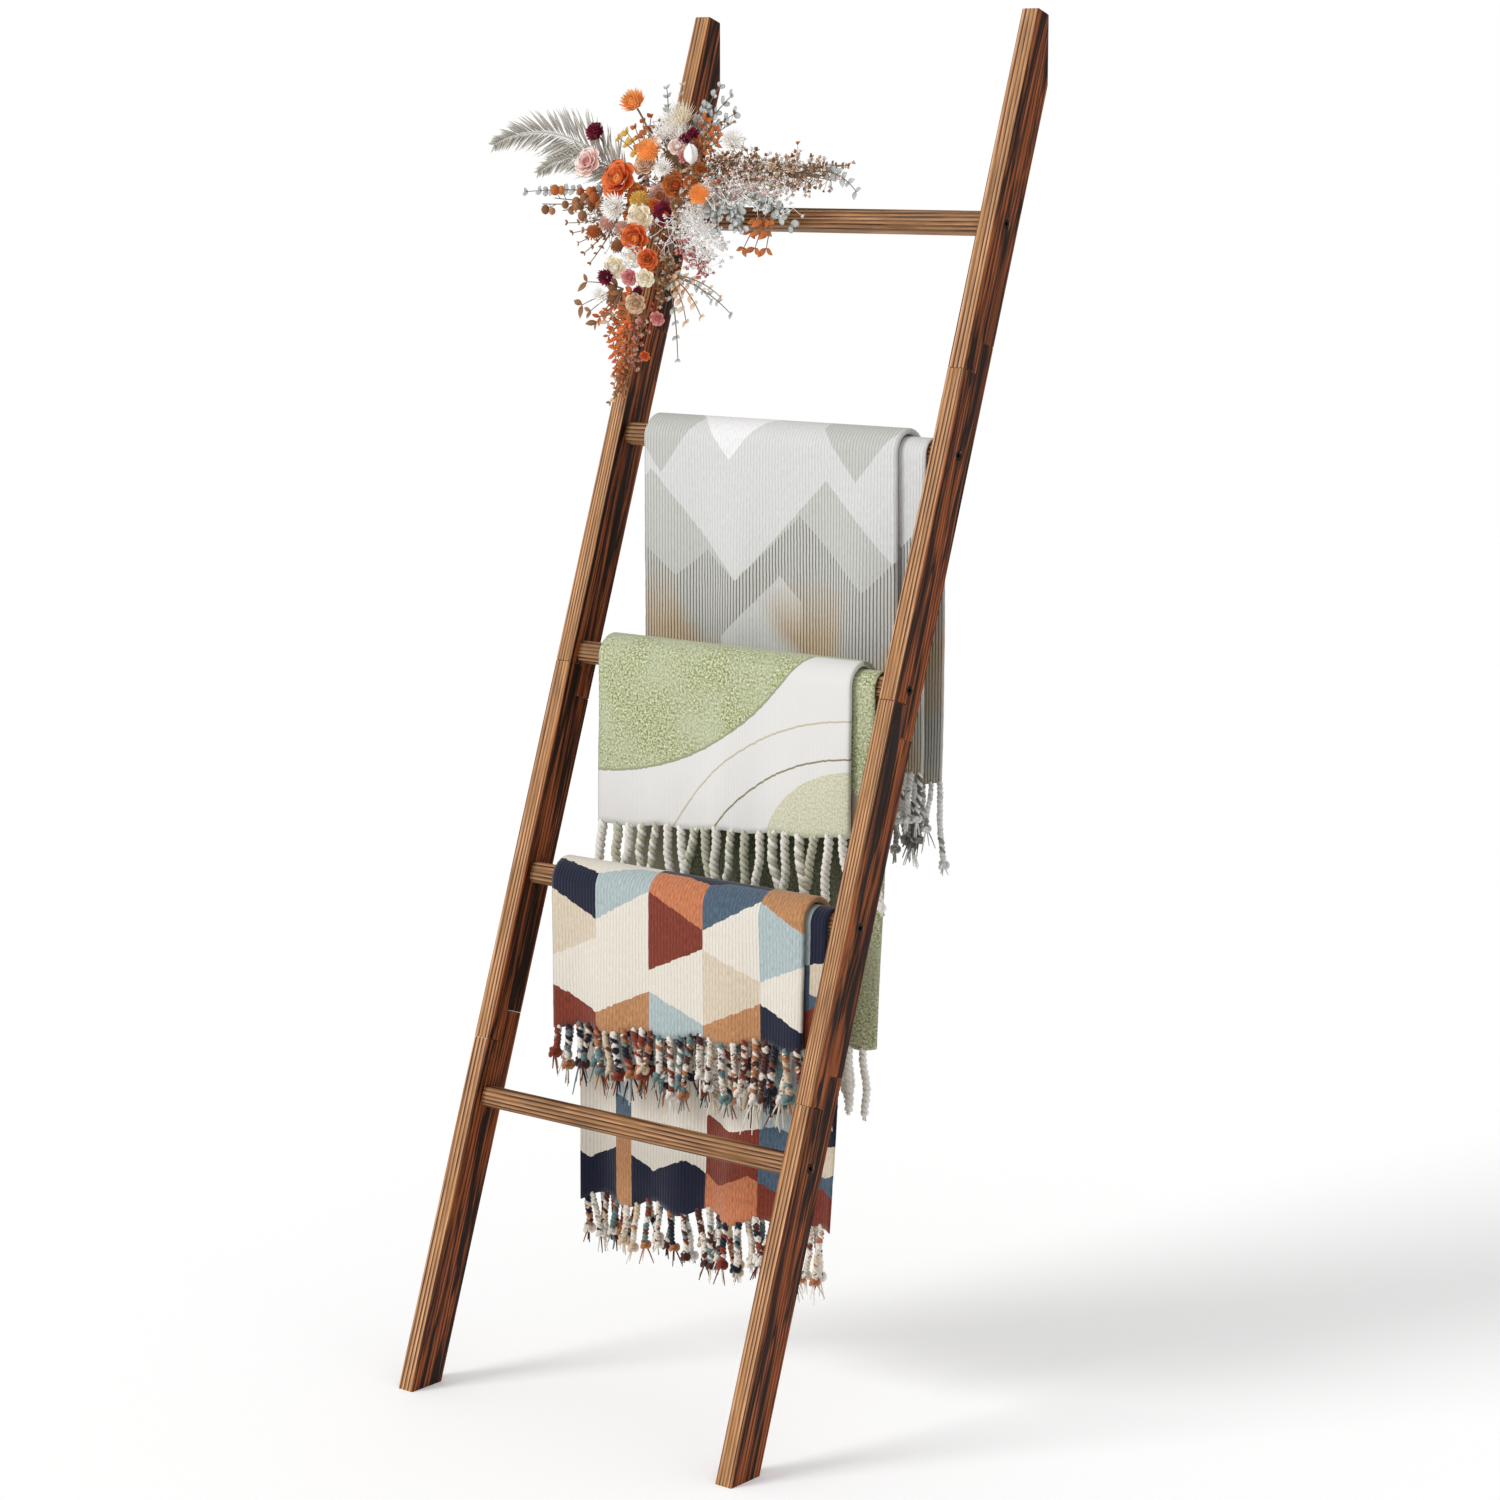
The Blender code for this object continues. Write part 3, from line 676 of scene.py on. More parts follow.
for mask, paint in (
    (every(tree, ("LESS_THAN", pool, 1.0)), blend(tree, 0.62, moss, colour("#dfdbc6"))),
    (every(tree, ("COMPARE", tan_arc, 1.0, 0.0034)), colour("#c4baa3")),
    (every(tree, ("COMPARE", olive_arc, 1.0, 0.0046)), colour("#8f866a")),
    (every(tree, ("LESS_THAN", disc, 1.0)), drifted),
    (every(tree, ("COMPARE", disc, 1.0, 0.0035)), colour("#9a9d80")),
    (inner_third, drifted),
    # Low on the back half, behind the front fringe, the back panel is painted in shade: a beige patch drawn
    # as it looks in shadow, and the moss dimmed to about a quarter.
    (every(tree, shaded_back_band, ("COMPARE", across, 0.76, 0.05)), colour("#8f8a78")),
    (every(tree, shaded_back_band, ("COMPARE", across, 0.935, 0.125)), dim(tree, moss, 0.27)),
    (taupe_front, colour("#a89a86")),
):
    painted = blend(tree, mask, painted, paint)
# The grooves of the rib are drawn a little darker: painted shade in the grooves.
groove_shade = add(tree, "MapRange", {"Value": middle["crest"], "To Min": 0.95, "To Max": 1.0})
fill(middle["surface"], {"Base Color": dim(tree, painted, groove_shade)})

# %% [markdown]
# The lower throw is a patchwork of tall skewed blocks: columns nearly eight centimetres wide,
# cut by zigzag lines that lean the other way in each next row. Counting how many zigzags a
# point is above gives its row, counting columns gives its column, and the two together pick one
# flat colour from a row of constant stops. The inner third has its own narrower columns.

# %% Lower throw: patchwork cotton
NAVY, SLATE, SKY, RUST = "#141930", "#4d6072", "#adbbbc", "#7d3422"
CLAY, OCHRE, CREAM, SAND = "#c67a52", "#b9855a", "#e2dbce", "#d6c7b1"
COLUMN = 0.0775
FIRST_COLUMN = 0.065
INNER_EDGES = (0.055, 0.082, 0.192, 0.277, 0.360)  # from the left fold of the inner third
cloth_patch, lower = ribbed_cotton("ribbed_cotton_patchwork", rib_mm=4.6, rib_depth_mm=0.5, step_mm=0.9)
tree, across = lower["tree"], lower["across"]


def pick_block(row, column, rows):
    """The colour of a point's block, given which row and column of the patchwork it is in."""
    blocks = [code for codes in rows for code in codes]
    cell = add(tree, "Math", {0: row, 1: float(len(rows[0])), 2: column}, operation="MULTIPLY_ADD")
    middle_of_stop = add(tree, "Math", {0: cell, 1: 0.5}, operation="ADD")
    share = add(tree, "Math", {0: middle_of_stop, 1: float(len(blocks))}, operation="DIVIDE")
    picked = add(tree, "ValToRGB", {"Fac": share})
    set_even_stops(picked, blocks)
    return picked


OUTER_ROWS = (
    (RUST, OCHRE, SKY, OCHRE, NAVY),
    (CREAM, CREAM, CREAM, SAND, CREAM),
    (SAND, CREAM, RUST, CREAM, SKY),
    (NAVY, SKY, CLAY, SLATE, OCHRE),
    (CREAM, CREAM, NAVY, NAVY, OCHRE),
)
INNER_ROWS = (
    (NAVY, OCHRE, NAVY, CLAY, RUST, RUST),
    (CREAM, OCHRE, CREAM, RUST, SLATE, SLATE),
    (CREAM, SLATE, CREAM, RUST, SLATE, SAND),
    (CREAM, SKY, CREAM, CREAM, SKY, NAVY),
)
outer_lines = ((0.007, 0.031, 0), (0.062, 0.03, 1), (0.113, 0.037, 0), (0.165, 0.02, 0))
outer_row = total(tree, [
    above_zigzag(lower, FIRST_COLUMN + COLUMN * shift, COLUMN, low, swing, slope=0.055)
    for low, swing, shift in outer_lines
])
shifted = add(tree, "Math", {0: across, 1: COLUMN - FIRST_COLUMN}, operation="ADD")
column_count = add(tree, "Math", {0: shifted, 1: COLUMN}, operation="DIVIDE")
whole = add(tree, "Math", {0: column_count}, operation="FLOOR")
outer_column = add(tree, "Math", {0: whole, 1: float(len(OUTER_ROWS[0]))}, operation="FLOORED_MODULO")

inner_left, inner_right = THROWS["lower"]["inner"]
inner_start = THROWS["lower"]["edge"][-1][0] - (inner_right - inner_left)
inner_column = total(tree, [
    every(tree, ("GREATER_THAN", across, inner_start + edge)) for edge in INNER_EDGES
])
inner_row = total(tree, [
    above_zigzag(lower, inner_start + 0.115, half, low, swing)
    for low, swing, half in ((0.038, 0.022, 0.05), (0.072, 0.02, 0.042), (0.105, 0.015, 0.06))
])
in_inner = every(tree, ("GREATER_THAN", across, inner_start - 0.01))
outer_blocks = pick_block(outer_row, outer_column, OUTER_ROWS)
block = blend(tree, in_inner, outer_blocks, pick_block(inner_row, inner_column, INNER_ROWS))

# The grooves of the rib are drawn darker: painted shade in the grooves.
groove_shade = add(tree, "MapRange", {"Value": lower["crest"], "To Min": 0.86, "To Max": 1.0})
lightness = add(tree, "RGBToBW", {"Color": block})
pale_span = {"Value": lightness, "From Min": 0.2, "From Max": 0.7, "To Min": 1.25, "To Max": 0.25}
yarn_span = {"Value": lower["slub"], "From Min": 0.3, "From Max": 0.7, "To Min": -0.26, "To Max": 0.2}
mottle = {0: add(tree, "MapRange", yarn_span), 1: add(tree, "MapRange", pale_span), 2: 1.0}
mottled = add(tree, "Math", mottle, operation="MULTIPLY_ADD")
fill(lower["surface"], {"Base Color": dim(tree, block, every(tree, groove_shade, mottled))})

for name, finish, slot in (
    ("upper", cloth_grey, "grey_cotton"),
    ("middle", cloth_green, "green_cotton"),
    ("lower", cloth_patch, "cream_cotton"),
):
    throw_pieces[name].data.materials.append(finish)


# %% [markdown]
# A fringe is the warp of the throw itself: bundles of thread left long at the hem, twisted two
# or three at a time into little ropes, and knotted or left to fray. Painted strips would look
# like card, so each tassel is modelled as its twisted strands.
#
# Everything thin on this rack, from yarn to flower stems, is a tube round a path. One helper
# lays a ring of points at each place of the path, and a pile collects many tubes into one mesh,
# with a number on each point that says which yarn it is. The finish turns that number into a colour.

# %% Tubes and the pile that collects them
class Pile:
    """Points, faces and one shade number for each point, for many small shapes in one mesh."""

    def __init__(self):
        self.points, self.faces, self.shades, self.count = [], [], [], 0

    def put(self, points, faces, shade):
        self.points.append(np.asarray(points, float).reshape(-1, 3))
        self.faces.extend([[int(v) + self.count for v in face] for face in faces])
        self.shades.append(np.broadcast_to(np.asarray(shade, float), (len(self.points[-1]),)))
        self.count += len(self.points[-1])

    def make(self, name, attribute):
        mesh = bpy.data.meshes.new(name)
        mesh.from_pydata(np.concatenate(self.points).tolist(), [], self.faces)
        shade = mesh.attributes.new(attribute, "FLOAT", "POINT")
        shade.data.foreach_set("value", np.concatenate(self.shades).astype(np.float32))
        mesh.shade_smooth()
        print(name, self.count, "points")
        return link_object(name, mesh)


def tube(pile, path, radius, shade, sides=6):
    path = np.asarray(path, float)
    along = np.gradient(path, axis=0)
    along /= np.linalg.norm(along, axis=1, keepdims=True) + 1e-12
    reference = np.eye(3)[int(np.argmin(np.abs(along.mean(axis=0))))]
    sideways = reference - along * (along @ reference)[:, None]
    sideways /= np.linalg.norm(sideways, axis=1, keepdims=True) + 1e-12
    upwards = np.cross(along, sideways)
    turn = np.linspace(0, 2 * math.pi, sides, endpoint=False)
    spokes = np.cos(turn)[None, :, None] * sideways[:, None] + np.sin(turn)[None, :, None] * upwards[:, None]
    thick = np.broadcast_to(np.asarray(radius, float), (len(path),))
    rings = path[:, None] + spokes * thick[:, None, None]
    index = np.arange(len(path) * sides).reshape(len(path), sides)
    turned = np.roll(index, -1, axis=1)
    quads = np.stack([index[:-1], turned[:-1], turned[1:], index[1:]], -1).reshape(-1, 4)
    start = len(path) * sides
    caps = [[start, turned[0, k], index[0, k]] for k in range(sides)]
    caps += [[start + 1, index[-1, k], turned[-1, k]] for k in range(sides)]
    each = np.broadcast_to(np.asarray(shade, float), (len(path),))
    points = np.concatenate([rings.reshape(-1, 3), path[:1], path[-1:]])
    pile.put(points, quads.tolist() + caps, np.concatenate([np.repeat(each, sides), each[:1], each[-1:]]))

# %% [markdown]
# A tassel is two tubes that wind round one centre line. The line starts inside the hem,
# hangs with a slight lean, and ends in a knot, on the fringes that have knots, and a few loose
# ends. Every number that varies from tassel to tassel comes from a seeded generator, so the
# fringe is the same each time.

# %% One twisted tassel
STRAND_STEP = 0.0016
PLIES = 2
SPUN_ALIKE = 0.6  # chance that both plies have one dye for a span


def tassel(pile, start, length, lean, strand_radius, knot_at, yarns, look, chance):
    steps = max(8, int(length / STRAND_STEP))
    share = np.linspace(0, 1, steps)
    curl = chance.uniform(-1, 1)
    drop = np.zeros((steps, 3))
    drop[:, 2] = -length * share
    drop[:, 0] = lean[0] * share**1.3 + 0.0032 * (np.sin(share * 7 + curl * 9) - math.sin(curl * 9)) * share
    drop[:, 1] = lean[1] * share**1.3 + 0.0016 * (np.cos(share * 6 + curl * 5) - math.cos(curl * 5)) * share
    centre = np.asarray(start) + drop
    body = share <= knot_at if knot_at else share <= 1
    phase = chance.uniform(0, 6.28)
    shared = []
    for ply in range(PLIES):
        turn = phase + 2 * math.pi * (share[body] * length / look["pitch"] + ply / PLIES)
        ring = np.stack([np.cos(turn), np.sin(turn), np.zeros_like(turn)], -1)
        path = centre[body] + ring * strand_radius * 0.95
        uneven = 1 + 0.14 * np.sin(share[body] * 31 + ply * 2 + phase)
        spans = (share[body] * length / look["dyed"]).astype(int)
        shared = shared or [chance.choice(yarns) for _ in range(int(spans[-1]) + 1)]
        spun = [dye if chance.random() < SPUN_ALIKE else chance.choice(yarns) for dye in shared]
        tube(pile, path, strand_radius * uneven, np.array([spun[k] for k in spans]))
    end = centre[body][-1]
    if knot_at:
        t = np.linspace(0, 2 * math.pi, 22)
        knot = np.stack(
            [np.sin(t) + 2 * np.sin(2 * t), np.cos(t) - 2 * np.cos(2 * t), -1.6 * np.sin(3 * t)], -1
        )
        tube(pile, end + knot * strand_radius * 0.85, strand_radius * 1.1, yarns[0], sides=6)
    loose = length * (1 - knot_at) if knot_at else 0.006
    for _ in range(look["ends"]):
        out = np.array([chance.uniform(-1, 1), chance.uniform(-1, 1), 0.0]) * loose * 0.35
        t = np.linspace(0, 1, 6)[:, None]
        path = end + out * t**0.8 + np.array([0, 0, -1.0]) * loose * chance.uniform(0.7, 1.1) * t
        tube(pile, path, strand_radius * np.linspace(0.55, 0.28, 6), chance.choice(yarns), sides=5)

# %% [markdown]
# Each throw has a fringe at both hems, and each hem carries tassels from its outer and inner
# layers. The middle throw has few, fat cream ropes. The lower one has many thin mixed ropes, each
# twisted from threads of different colours. The upper one is white and charcoal.

# %% The six fringes
OUTER, INNER = LAYER_RADII[0], LAYER_RADII[2]
FRINGES = {
    "upper_front": dict(gap=0.012, strand=0.0019, pitch=0.010, knot=0.78, ends=4, swing=0.006, dyed=0.02),
    "upper_back": dict(gap=0.012, strand=0.0019, pitch=0.010, knot=0.8, ends=4, swing=0.006, dyed=0.02),
    "middle_front": dict(gap=0.0190, strand=0.0029, pitch=0.014, knot=0.0, ends=5, swing=0.006, dyed=0.3),
    "middle_back": dict(gap=0.0180, strand=0.0026, pitch=0.013, knot=0.0, ends=5, swing=0.006, dyed=0.3),
    "lower_front": dict(gap=0.0145, strand=0.0023, pitch=0.009, knot=0.7, ends=4, swing=0.010, dyed=0.006),
    "lower_back": dict(gap=0.0185, strand=0.0022, pitch=0.009, knot=0.76, ends=3, swing=0.012, dyed=0.007),
}
YARN_SHADES = {"upper": 5, "middle": 4, "lower": 10}
fringe_pieces = {}
for fringe_name, look in FRINGES.items():
    name, side = fringe_name.split("_")
    throw = THROWS[name]
    low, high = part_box(name + "_fringe_" + side)
    chance = random.Random(len(fringe_name) * 7 + throw["seed"])
    pile = Pile()
    shades = YARN_SHADES[name]
    last_row = 0 if side == "front" else sum(throw["rows"]) + ARC_ROWS
    for layer, (left, right) in ((OUTER, throw["outer"]), (INNER, throw["inner"])):
        x = left + look["gap"] * (0.4 if layer == OUTER else 0.8)
        if layer == INNER and name == "middle" and side == "front":
            x = throw["outer"][1] + 0.004
        while x < right - 0.003:
            hem, _, _ = cloth_point(throw, x, last_row, layer)
            reach = hem[2] - low.z - 0.002
            length = reach * chance.uniform(0.72, 0.99)
            lean = (chance.gauss(0, look["swing"]), chance.gauss(0, 0.002))
            yarns = [(chance.randrange(shades) + 0.5) / shades for _ in range(4)]
            start = (hem[0], hem[1], hem[2] + 0.002)
            thick = look["strand"] * chance.uniform(0.88, 1.1)
            knot_at = look["knot"] and look["knot"] * chance.uniform(0.8, 1.12)
            tassel(pile, start, length, lean, thick, knot_at, yarns, look, chance)
            x += look["gap"] * chance.uniform(0.85, 1.15)
    piece = pile.make(fringe_name + "_tassels", "yarn")
    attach(piece, name + "_throw")
    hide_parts(name + "_fringe_" + side)
    fringe_pieces[fringe_name] = piece

# %% [markdown]
# Fringe yarn is soft-spun cotton: matt, slightly hairy, a different dye on each strand. The
# yarn number on the mesh picks a flat colour, and a stretched noise gives the fine lay of the
# fibres, drawn a little coarser than life so that it shows.

# %% Spun cotton yarn in three sets of dyes
def spun_yarn(name, codes):
    material, tree, surface = new_material(name)
    number = add(tree, "Attribute", attribute_name="yarn")
    dye = add(tree, "ValToRGB", {"Fac": number.outputs["Fac"]})
    set_even_stops(dye, codes)
    place = add(tree, "TexCoord")
    lie = add(tree, "Mapping", {"Vector": place.outputs["Object"], "Scale": (1500.0, 1500.0, 700.0)})
    fibre, tone = spread_noise(tree, lie, {"Scale": 1.0, "Detail": 2.0}, 0.3, 0.7, 0.78, 1.1)
    bump = add(tree, "Bump", {"Height": fibre, "Strength": 0.7, "Distance": 0.0004})
    fill(surface, {"Base Color": dim(tree, dye, tone), "Normal": bump, "Roughness": 0.95})
    fill(surface, {"Specular IOR Level": 0.15, "Sheen Weight": 0.3})
    return material


YARNS = {
    "upper": ("white_charcoal", "grey_yarn", "#e3e1de #c9c8c4 #63625f #ecebe8 #94938e"),
    "middle": ("cream_olive", "green_yarn", "#f5f1e8 #e9e5d8 #cbc9b2 #f8f5ee"),
    "lower": ("mixed_dyes", "mixed_yarn", "#efe8dc #1f2232 #8a3a26 #6f8a8c #f4efe6 #b9794f "
              "#eae0d0 #552f27 #f1ebe0 #e0cbae"),
}
for name, (look, slot, codes) in YARNS.items():
    finish = spun_yarn("spun_cotton_" + look, codes.split())
    for side in ("front", "back"):
        fringe_pieces[name + "_" + side].data.materials.append(finish)
for name, throw in THROWS.items():
    arc = math.pi * LAYER_RADII[1]
    length = round(2 * throw["axis"][1] - sum(throw["hems"]) + arc, 3)

# %% [markdown]
# The spray is tied to the left rail where the top rung meets it. It is made of dried and
# preserved flowers: a few roses and pincushion heads in burnt orange, white and blush, burgundy
# and mustard accents, a grey palm frond to the left, eucalyptus and brown filler to the right, and a
# trailing tail of small leaves. A scan would give blobs at this size, so each kind of plant is
# grown from two or three parts: a thin closed petal, a bead and a tube. The flowers then differ
# only in how many parts they have and how these are turned.
#
# Colour works like the yarn: every plant has a base colour and a tip colour, and the number
# on each point says which plant it is and how far along its petal the point lies.

# %% The colours of the dried plants, base then tip
PLANTS = {
    "white": ("#f3ece0", "#ffffff"), "cream": ("#e6d5b2", "#fdf5e4"), "blush": ("#d79a8e", "#fbefe6"),
    "dusty": ("#a56c5c", "#dcb4a6"), "orange": ("#e8872f", "#ffb873"), "flame": ("#ab3519", "#f0834a"),
    "mustard": ("#ad7c2c", "#ecc066"), "burgundy": ("#4b1222", "#8d2c44"), "rust": ("#88411f", "#cf7d45"),
    "brown": ("#6b422a", "#b0825c"), "tan": ("#b58864", "#ecd0b0"), "grey": ("#868a85", "#c9cdca"),
    "palm": ("#7d766a", "#d9d4c9"), "stem": ("#6b5740", "#857460"), "pink": ("#b9525a", "#eba9a2"),
}
PLANT_NAMES = list(PLANTS)
chance = random.Random(41)  # every plant draws from this one row of random numbers


def plant_shade(name, share):
    return (PLANT_NAMES.index(name) + 0.03 + 0.94 * share) / len(PLANT_NAMES)

# %% [markdown]
# A petal is a little grid that widens and narrows along its length, curls up, and cups across
# its width. Its back is a second skin that shares the rim and lies a hair's breadth behind, so
# that every petal is a closed solid like a real one, however thin.

# %% Petals, beads and bursts
GOLDEN_ANGLE = 2.39996


def unit(vector):
    vector = np.asarray(vector, float)
    return vector / (np.linalg.norm(vector) + 1e-12)


def petal(pile, base, ahead, face, length, width, curl, cup, plant, pointed=False, fine=4,
          shade=(0.0, 1.0)):
    ahead, face = unit(ahead), unit(face)
    side = unit(np.cross(ahead, face))
    face = np.cross(side, ahead)
    s, t = np.meshgrid(np.linspace(0, 1, fine + 1), np.linspace(-1, 1, max(3, fine)), indexing="ij")
    if pointed:
        half = width * (0.04 + 0.96 * np.sin(math.pi * s**0.85) ** 0.9) / 2
    else:
        half = width * (0.12 + 0.88 * np.sin(math.pi * (0.06 + 0.84 * s)) ** 0.6) / 2
    lift = curl * length * s**2 + cup * half * t**2
    grid = (
        np.asarray(base)
        + ahead * (length * s)[..., None]
        + side * (half * t)[..., None]
        + face * lift[..., None]
    )
    skin = max(0.00018, width * 0.03)
    rows, columns = s.shape
    index = np.arange(rows * columns).reshape(rows, columns)
    back_index = index.copy()
    inner_rows, inner_columns = rows - 2, columns - 2
    back_index[1:-1, 1:-1] = rows * columns + np.arange(inner_rows * inner_columns).reshape(
        inner_rows, inner_columns
    )
    back = (grid - face * skin)[1:-1, 1:-1].reshape(-1, 3)
    front_faces = np.stack([index[:-1, :-1], index[1:, :-1], index[1:, 1:], index[:-1, 1:]], -1)
    back_faces = np.stack(
        [back_index[:-1, :-1], back_index[:-1, 1:], back_index[1:, 1:], back_index[1:, :-1]], -1
    )
    share = shade[0] + (shade[1] - shade[0]) * s
    shades = np.concatenate([share.reshape(-1), share[1:-1, 1:-1].reshape(-1)])
    pile.put(
        np.concatenate([grid.reshape(-1, 3), back]),
        np.concatenate([front_faces.reshape(-1, 4), back_faces.reshape(-1, 4)]),
        plant_shade(plant, shades),
    )


def bead(pile, centre, radius, plant, shade=0.6, stretch=(1, 1, 1)):
    turns = np.linspace(0, 2 * math.pi, 9)[:-1]
    points = []
    for tilt in np.linspace(0.35, math.pi - 0.35, 5):
        wide = math.sin(tilt)
        points += [(wide * math.cos(turn), wide * math.sin(turn), math.cos(tilt)) for turn in turns]
    points = np.array(points + [(0, 0, 1), (0, 0, -1)]) * stretch
    sides = [(k, (k + 1) % 8) for k in range(8)]
    faces = [[r * 8 + k, r * 8 + 8 + k, r * 8 + 8 + n, r * 8 + n] for r in range(4) for k, n in sides]
    faces += [[40, k, n] for k, n in sides] + [[41, 32 + n, 32 + k] for k, n in sides]
    pile.put(points * radius + np.asarray(centre), faces, plant_shade(plant, shade))


def around(facing):
    facing = unit(facing)
    across = unit(np.cross(facing, (0.13, 0.2, 0.97)))
    return facing, across, np.cross(facing, across)


def leaning(axes, turn, tilt):
    """Three directions of a petal in a head: outwards, along the petal, and out of its face."""
    facing, across, upright = axes
    radial = across * math.cos(turn) + upright * math.sin(turn)
    ahead = facing * math.cos(tilt) + radial * math.sin(tilt)
    return radial, ahead, facing * math.sin(tilt) - radial * math.cos(tilt)


def burst(pile, centre, facing, size, plant, count=60, spread=1.45, width=0.16, curl=0.25, pointed=True,
          fine=3, hollow=0.15):
    """A head of narrow petals or needles that all leave one middle, spaced by the golden angle."""
    axes = around(facing)
    for k in range(count):
        tilt = 0.08 + spread * math.sqrt((k + 0.5) / count)
        _, ahead, face = leaning(axes, k * GOLDEN_ANGLE, tilt)
        length = size * chance.uniform(0.78, 1.0) * (1 - hollow)
        base = np.asarray(centre) + ahead * size * hollow
        petal(pile, base, ahead, face, length, size * width, curl, 0.3, plant, pointed, fine)


ROSE_RINGS = ((4, 0.12, 0.5), (4, 0.38, 0.62), (5, 0.66, 0.78), (6, 0.98, 0.92), (7, 1.28, 1.0))


def rose(pile, centre, facing, size, plant, heart_plant=None):
    """Five rings of cupped petals, from a tight bud to an open collar."""
    axes = around(facing)
    for ring, (count, opening, reach) in enumerate(ROSE_RINGS):
        for k in range(count):
            turn = 2 * math.pi * (k + 0.5 * (ring % 2)) / count + chance.uniform(-0.15, 0.15) + ring
            radial, ahead, face = leaning(axes, turn, opening + chance.uniform(-0.08, 0.08))
            dye = heart_plant if heart_plant and ring < 2 else plant
            base = np.asarray(centre) - axes[0] * size * 0.25 + radial * size * 0.08 * ring
            petal(pile, base, ahead, face, size * reach, size * (0.62 + 0.14 * ring), 0.34 - 0.08 * ring,
                  0.55, dye, False, 5, shade=(0.0, 0.55 + 0.11 * ring))


def bend_path(start, end, sag, steps=10):
    start, end, sag = (np.asarray(v, float) for v in (start, end, sag))
    middle = (start + end) / 2 + sag
    t = np.linspace(0, 1, steps)[:, None]
    return start * (1 - t) ** 2 + middle * 2 * t * (1 - t) + end * t**2

# %% [markdown]
# Places in the spray are given in millimetres: along the wall, above the floor, and how far the
# head stands out from the front edge of the rail at that height. The rail leans, so the last
# number keeps the lower flowers on the wood instead of in it.

# %% Where a flower goes
HEAD_FACING = (0.42, -0.86, 0.18)


def spot(x_mm, z_mm, out_mm):
    z = z_mm / 1000
    return np.array([x_mm / 1000, RAIL_FRONT + z * math.tan(LEAN) - out_mm / 1000, z])


MIDDLE = spot(-205, 1310, 20)


def outward(place):
    return unit(np.array(HEAD_FACING) + unit(place - MIDDLE) * 0.45)


def shares(count):
    return [k / (count - 1) for k in range(count)]


def head(flower, pile, at, size, plant, *look):
    """Sets one flower head at its place in the spray, turned away from the spray's middle."""
    place = spot(*at)
    flower(pile, place, outward(place), size / 1000, plant, *look)
    return place

# %% [markdown]
# Sprigs carry their leaves, berries or florets on a bent stem. Eucalyptus has round leaves in
# pairs, the autumn leaves are pointed and folded along the middle, berries sit on short
# stalks, and the fillers end in a mist of tiny florets.

# %% Sprigs, the palm frond and the mist
def stem(pile, start, end, sag, steps, radii, shade, sides=5):
    """A bent stem between two places of the spray. Its sag is in mm, along the wall and up."""
    path = bend_path(spot(*start), spot(*end), (sag[0] / 1000, 0, sag[1] / 1000), steps)
    tube(pile, path, np.linspace(*radii, steps), shade, sides=sides)
    return path


def leafy_sprig(pile, start, end, sag, plant, leaf=0.012, width=0.55, pairs=6, pointed=True, curl=0.15):
    path = stem(pile, start, end, sag, 14, (0.0011, 0.0005), plant_shade("stem", 0.5))
    for k in range(pairs):
        share = 0.18 + 0.82 * k / max(1, pairs - 1)
        step = int(share * 13)
        place = path[min(13, step)]
        along = unit(path[min(13, step + 1)] - path[max(0, step - 1)])
        for way in (-1, 1):
            side = unit(np.cross(along, (0.1, -1, 0.2))) * way
            ahead = along * 0.7 + side * chance.uniform(0.6, 1.1)
            ahead = ahead + np.array([0, chance.uniform(-0.5, 0.3), 0])
            face = np.array([chance.uniform(-0.3, 0.5), -1, chance.uniform(-0.2, 0.5)])
            size = leaf * chance.uniform(0.7, 1.1) * (1 - 0.25 * share)
            petal(pile, place, ahead, face, size, size * width, curl * chance.uniform(-1, 1.5), 0.35,
                  plant, pointed, 4, shade=(chance.uniform(0, 0.4), chance.uniform(0.5, 1.0)))


def berry_sprig(pile, start, end, sag, plant, berry=0.004, count=7):
    path = stem(pile, start, end, sag, 12, (0.001, 0.0006), plant_shade("stem", 0.3))
    for k in range(count):
        place = path[min(11, 3 + int(9 * k / count))]
        off = [chance.uniform(-1, 1), chance.uniform(-0.8, 0.2), chance.uniform(-1, 1)]
        off = np.array(off) * berry * 2.4
        tube(pile, [place, place + off * 0.6, place + off], 0.0005, plant_shade("stem", 0.4), sides=4)
        size = berry * chance.uniform(0.75, 1.15)
        bead(pile, place + off, size, plant, chance.uniform(0.1, 0.9), (1, 1, 1.15))


def mist(pile, start, end, sag, plant, floret=0.004, count=14, puff=0.016, stalk="stem"):
    """Baby's breath and brown filler: hair-thin side stems that each end in a tiny open floret."""
    path = stem(pile, start, end, sag, 12, (0.0009, 0.0004), plant_shade(stalk, 0.6), sides=4)
    for k in range(count):
        place = path[min(11, 4 + int(8 * k / count))]
        off = unit([chance.gauss(0, 1), chance.gauss(-0.2, 0.7), chance.gauss(0.1, 1)])
        off = off * puff * chance.uniform(0.4, 1)
        hair = [place, place + off * 0.55 + (0, 0, -0.001), place + off]
        tube(pile, hair, 0.00032, plant_shade(stalk, 0.8), sides=3)
        size = floret * chance.uniform(0.7, 1.2)
        burst(pile, place + off, off, size, plant, 5, 1.15, 0.6, 0.2, False, 2, 0.0)


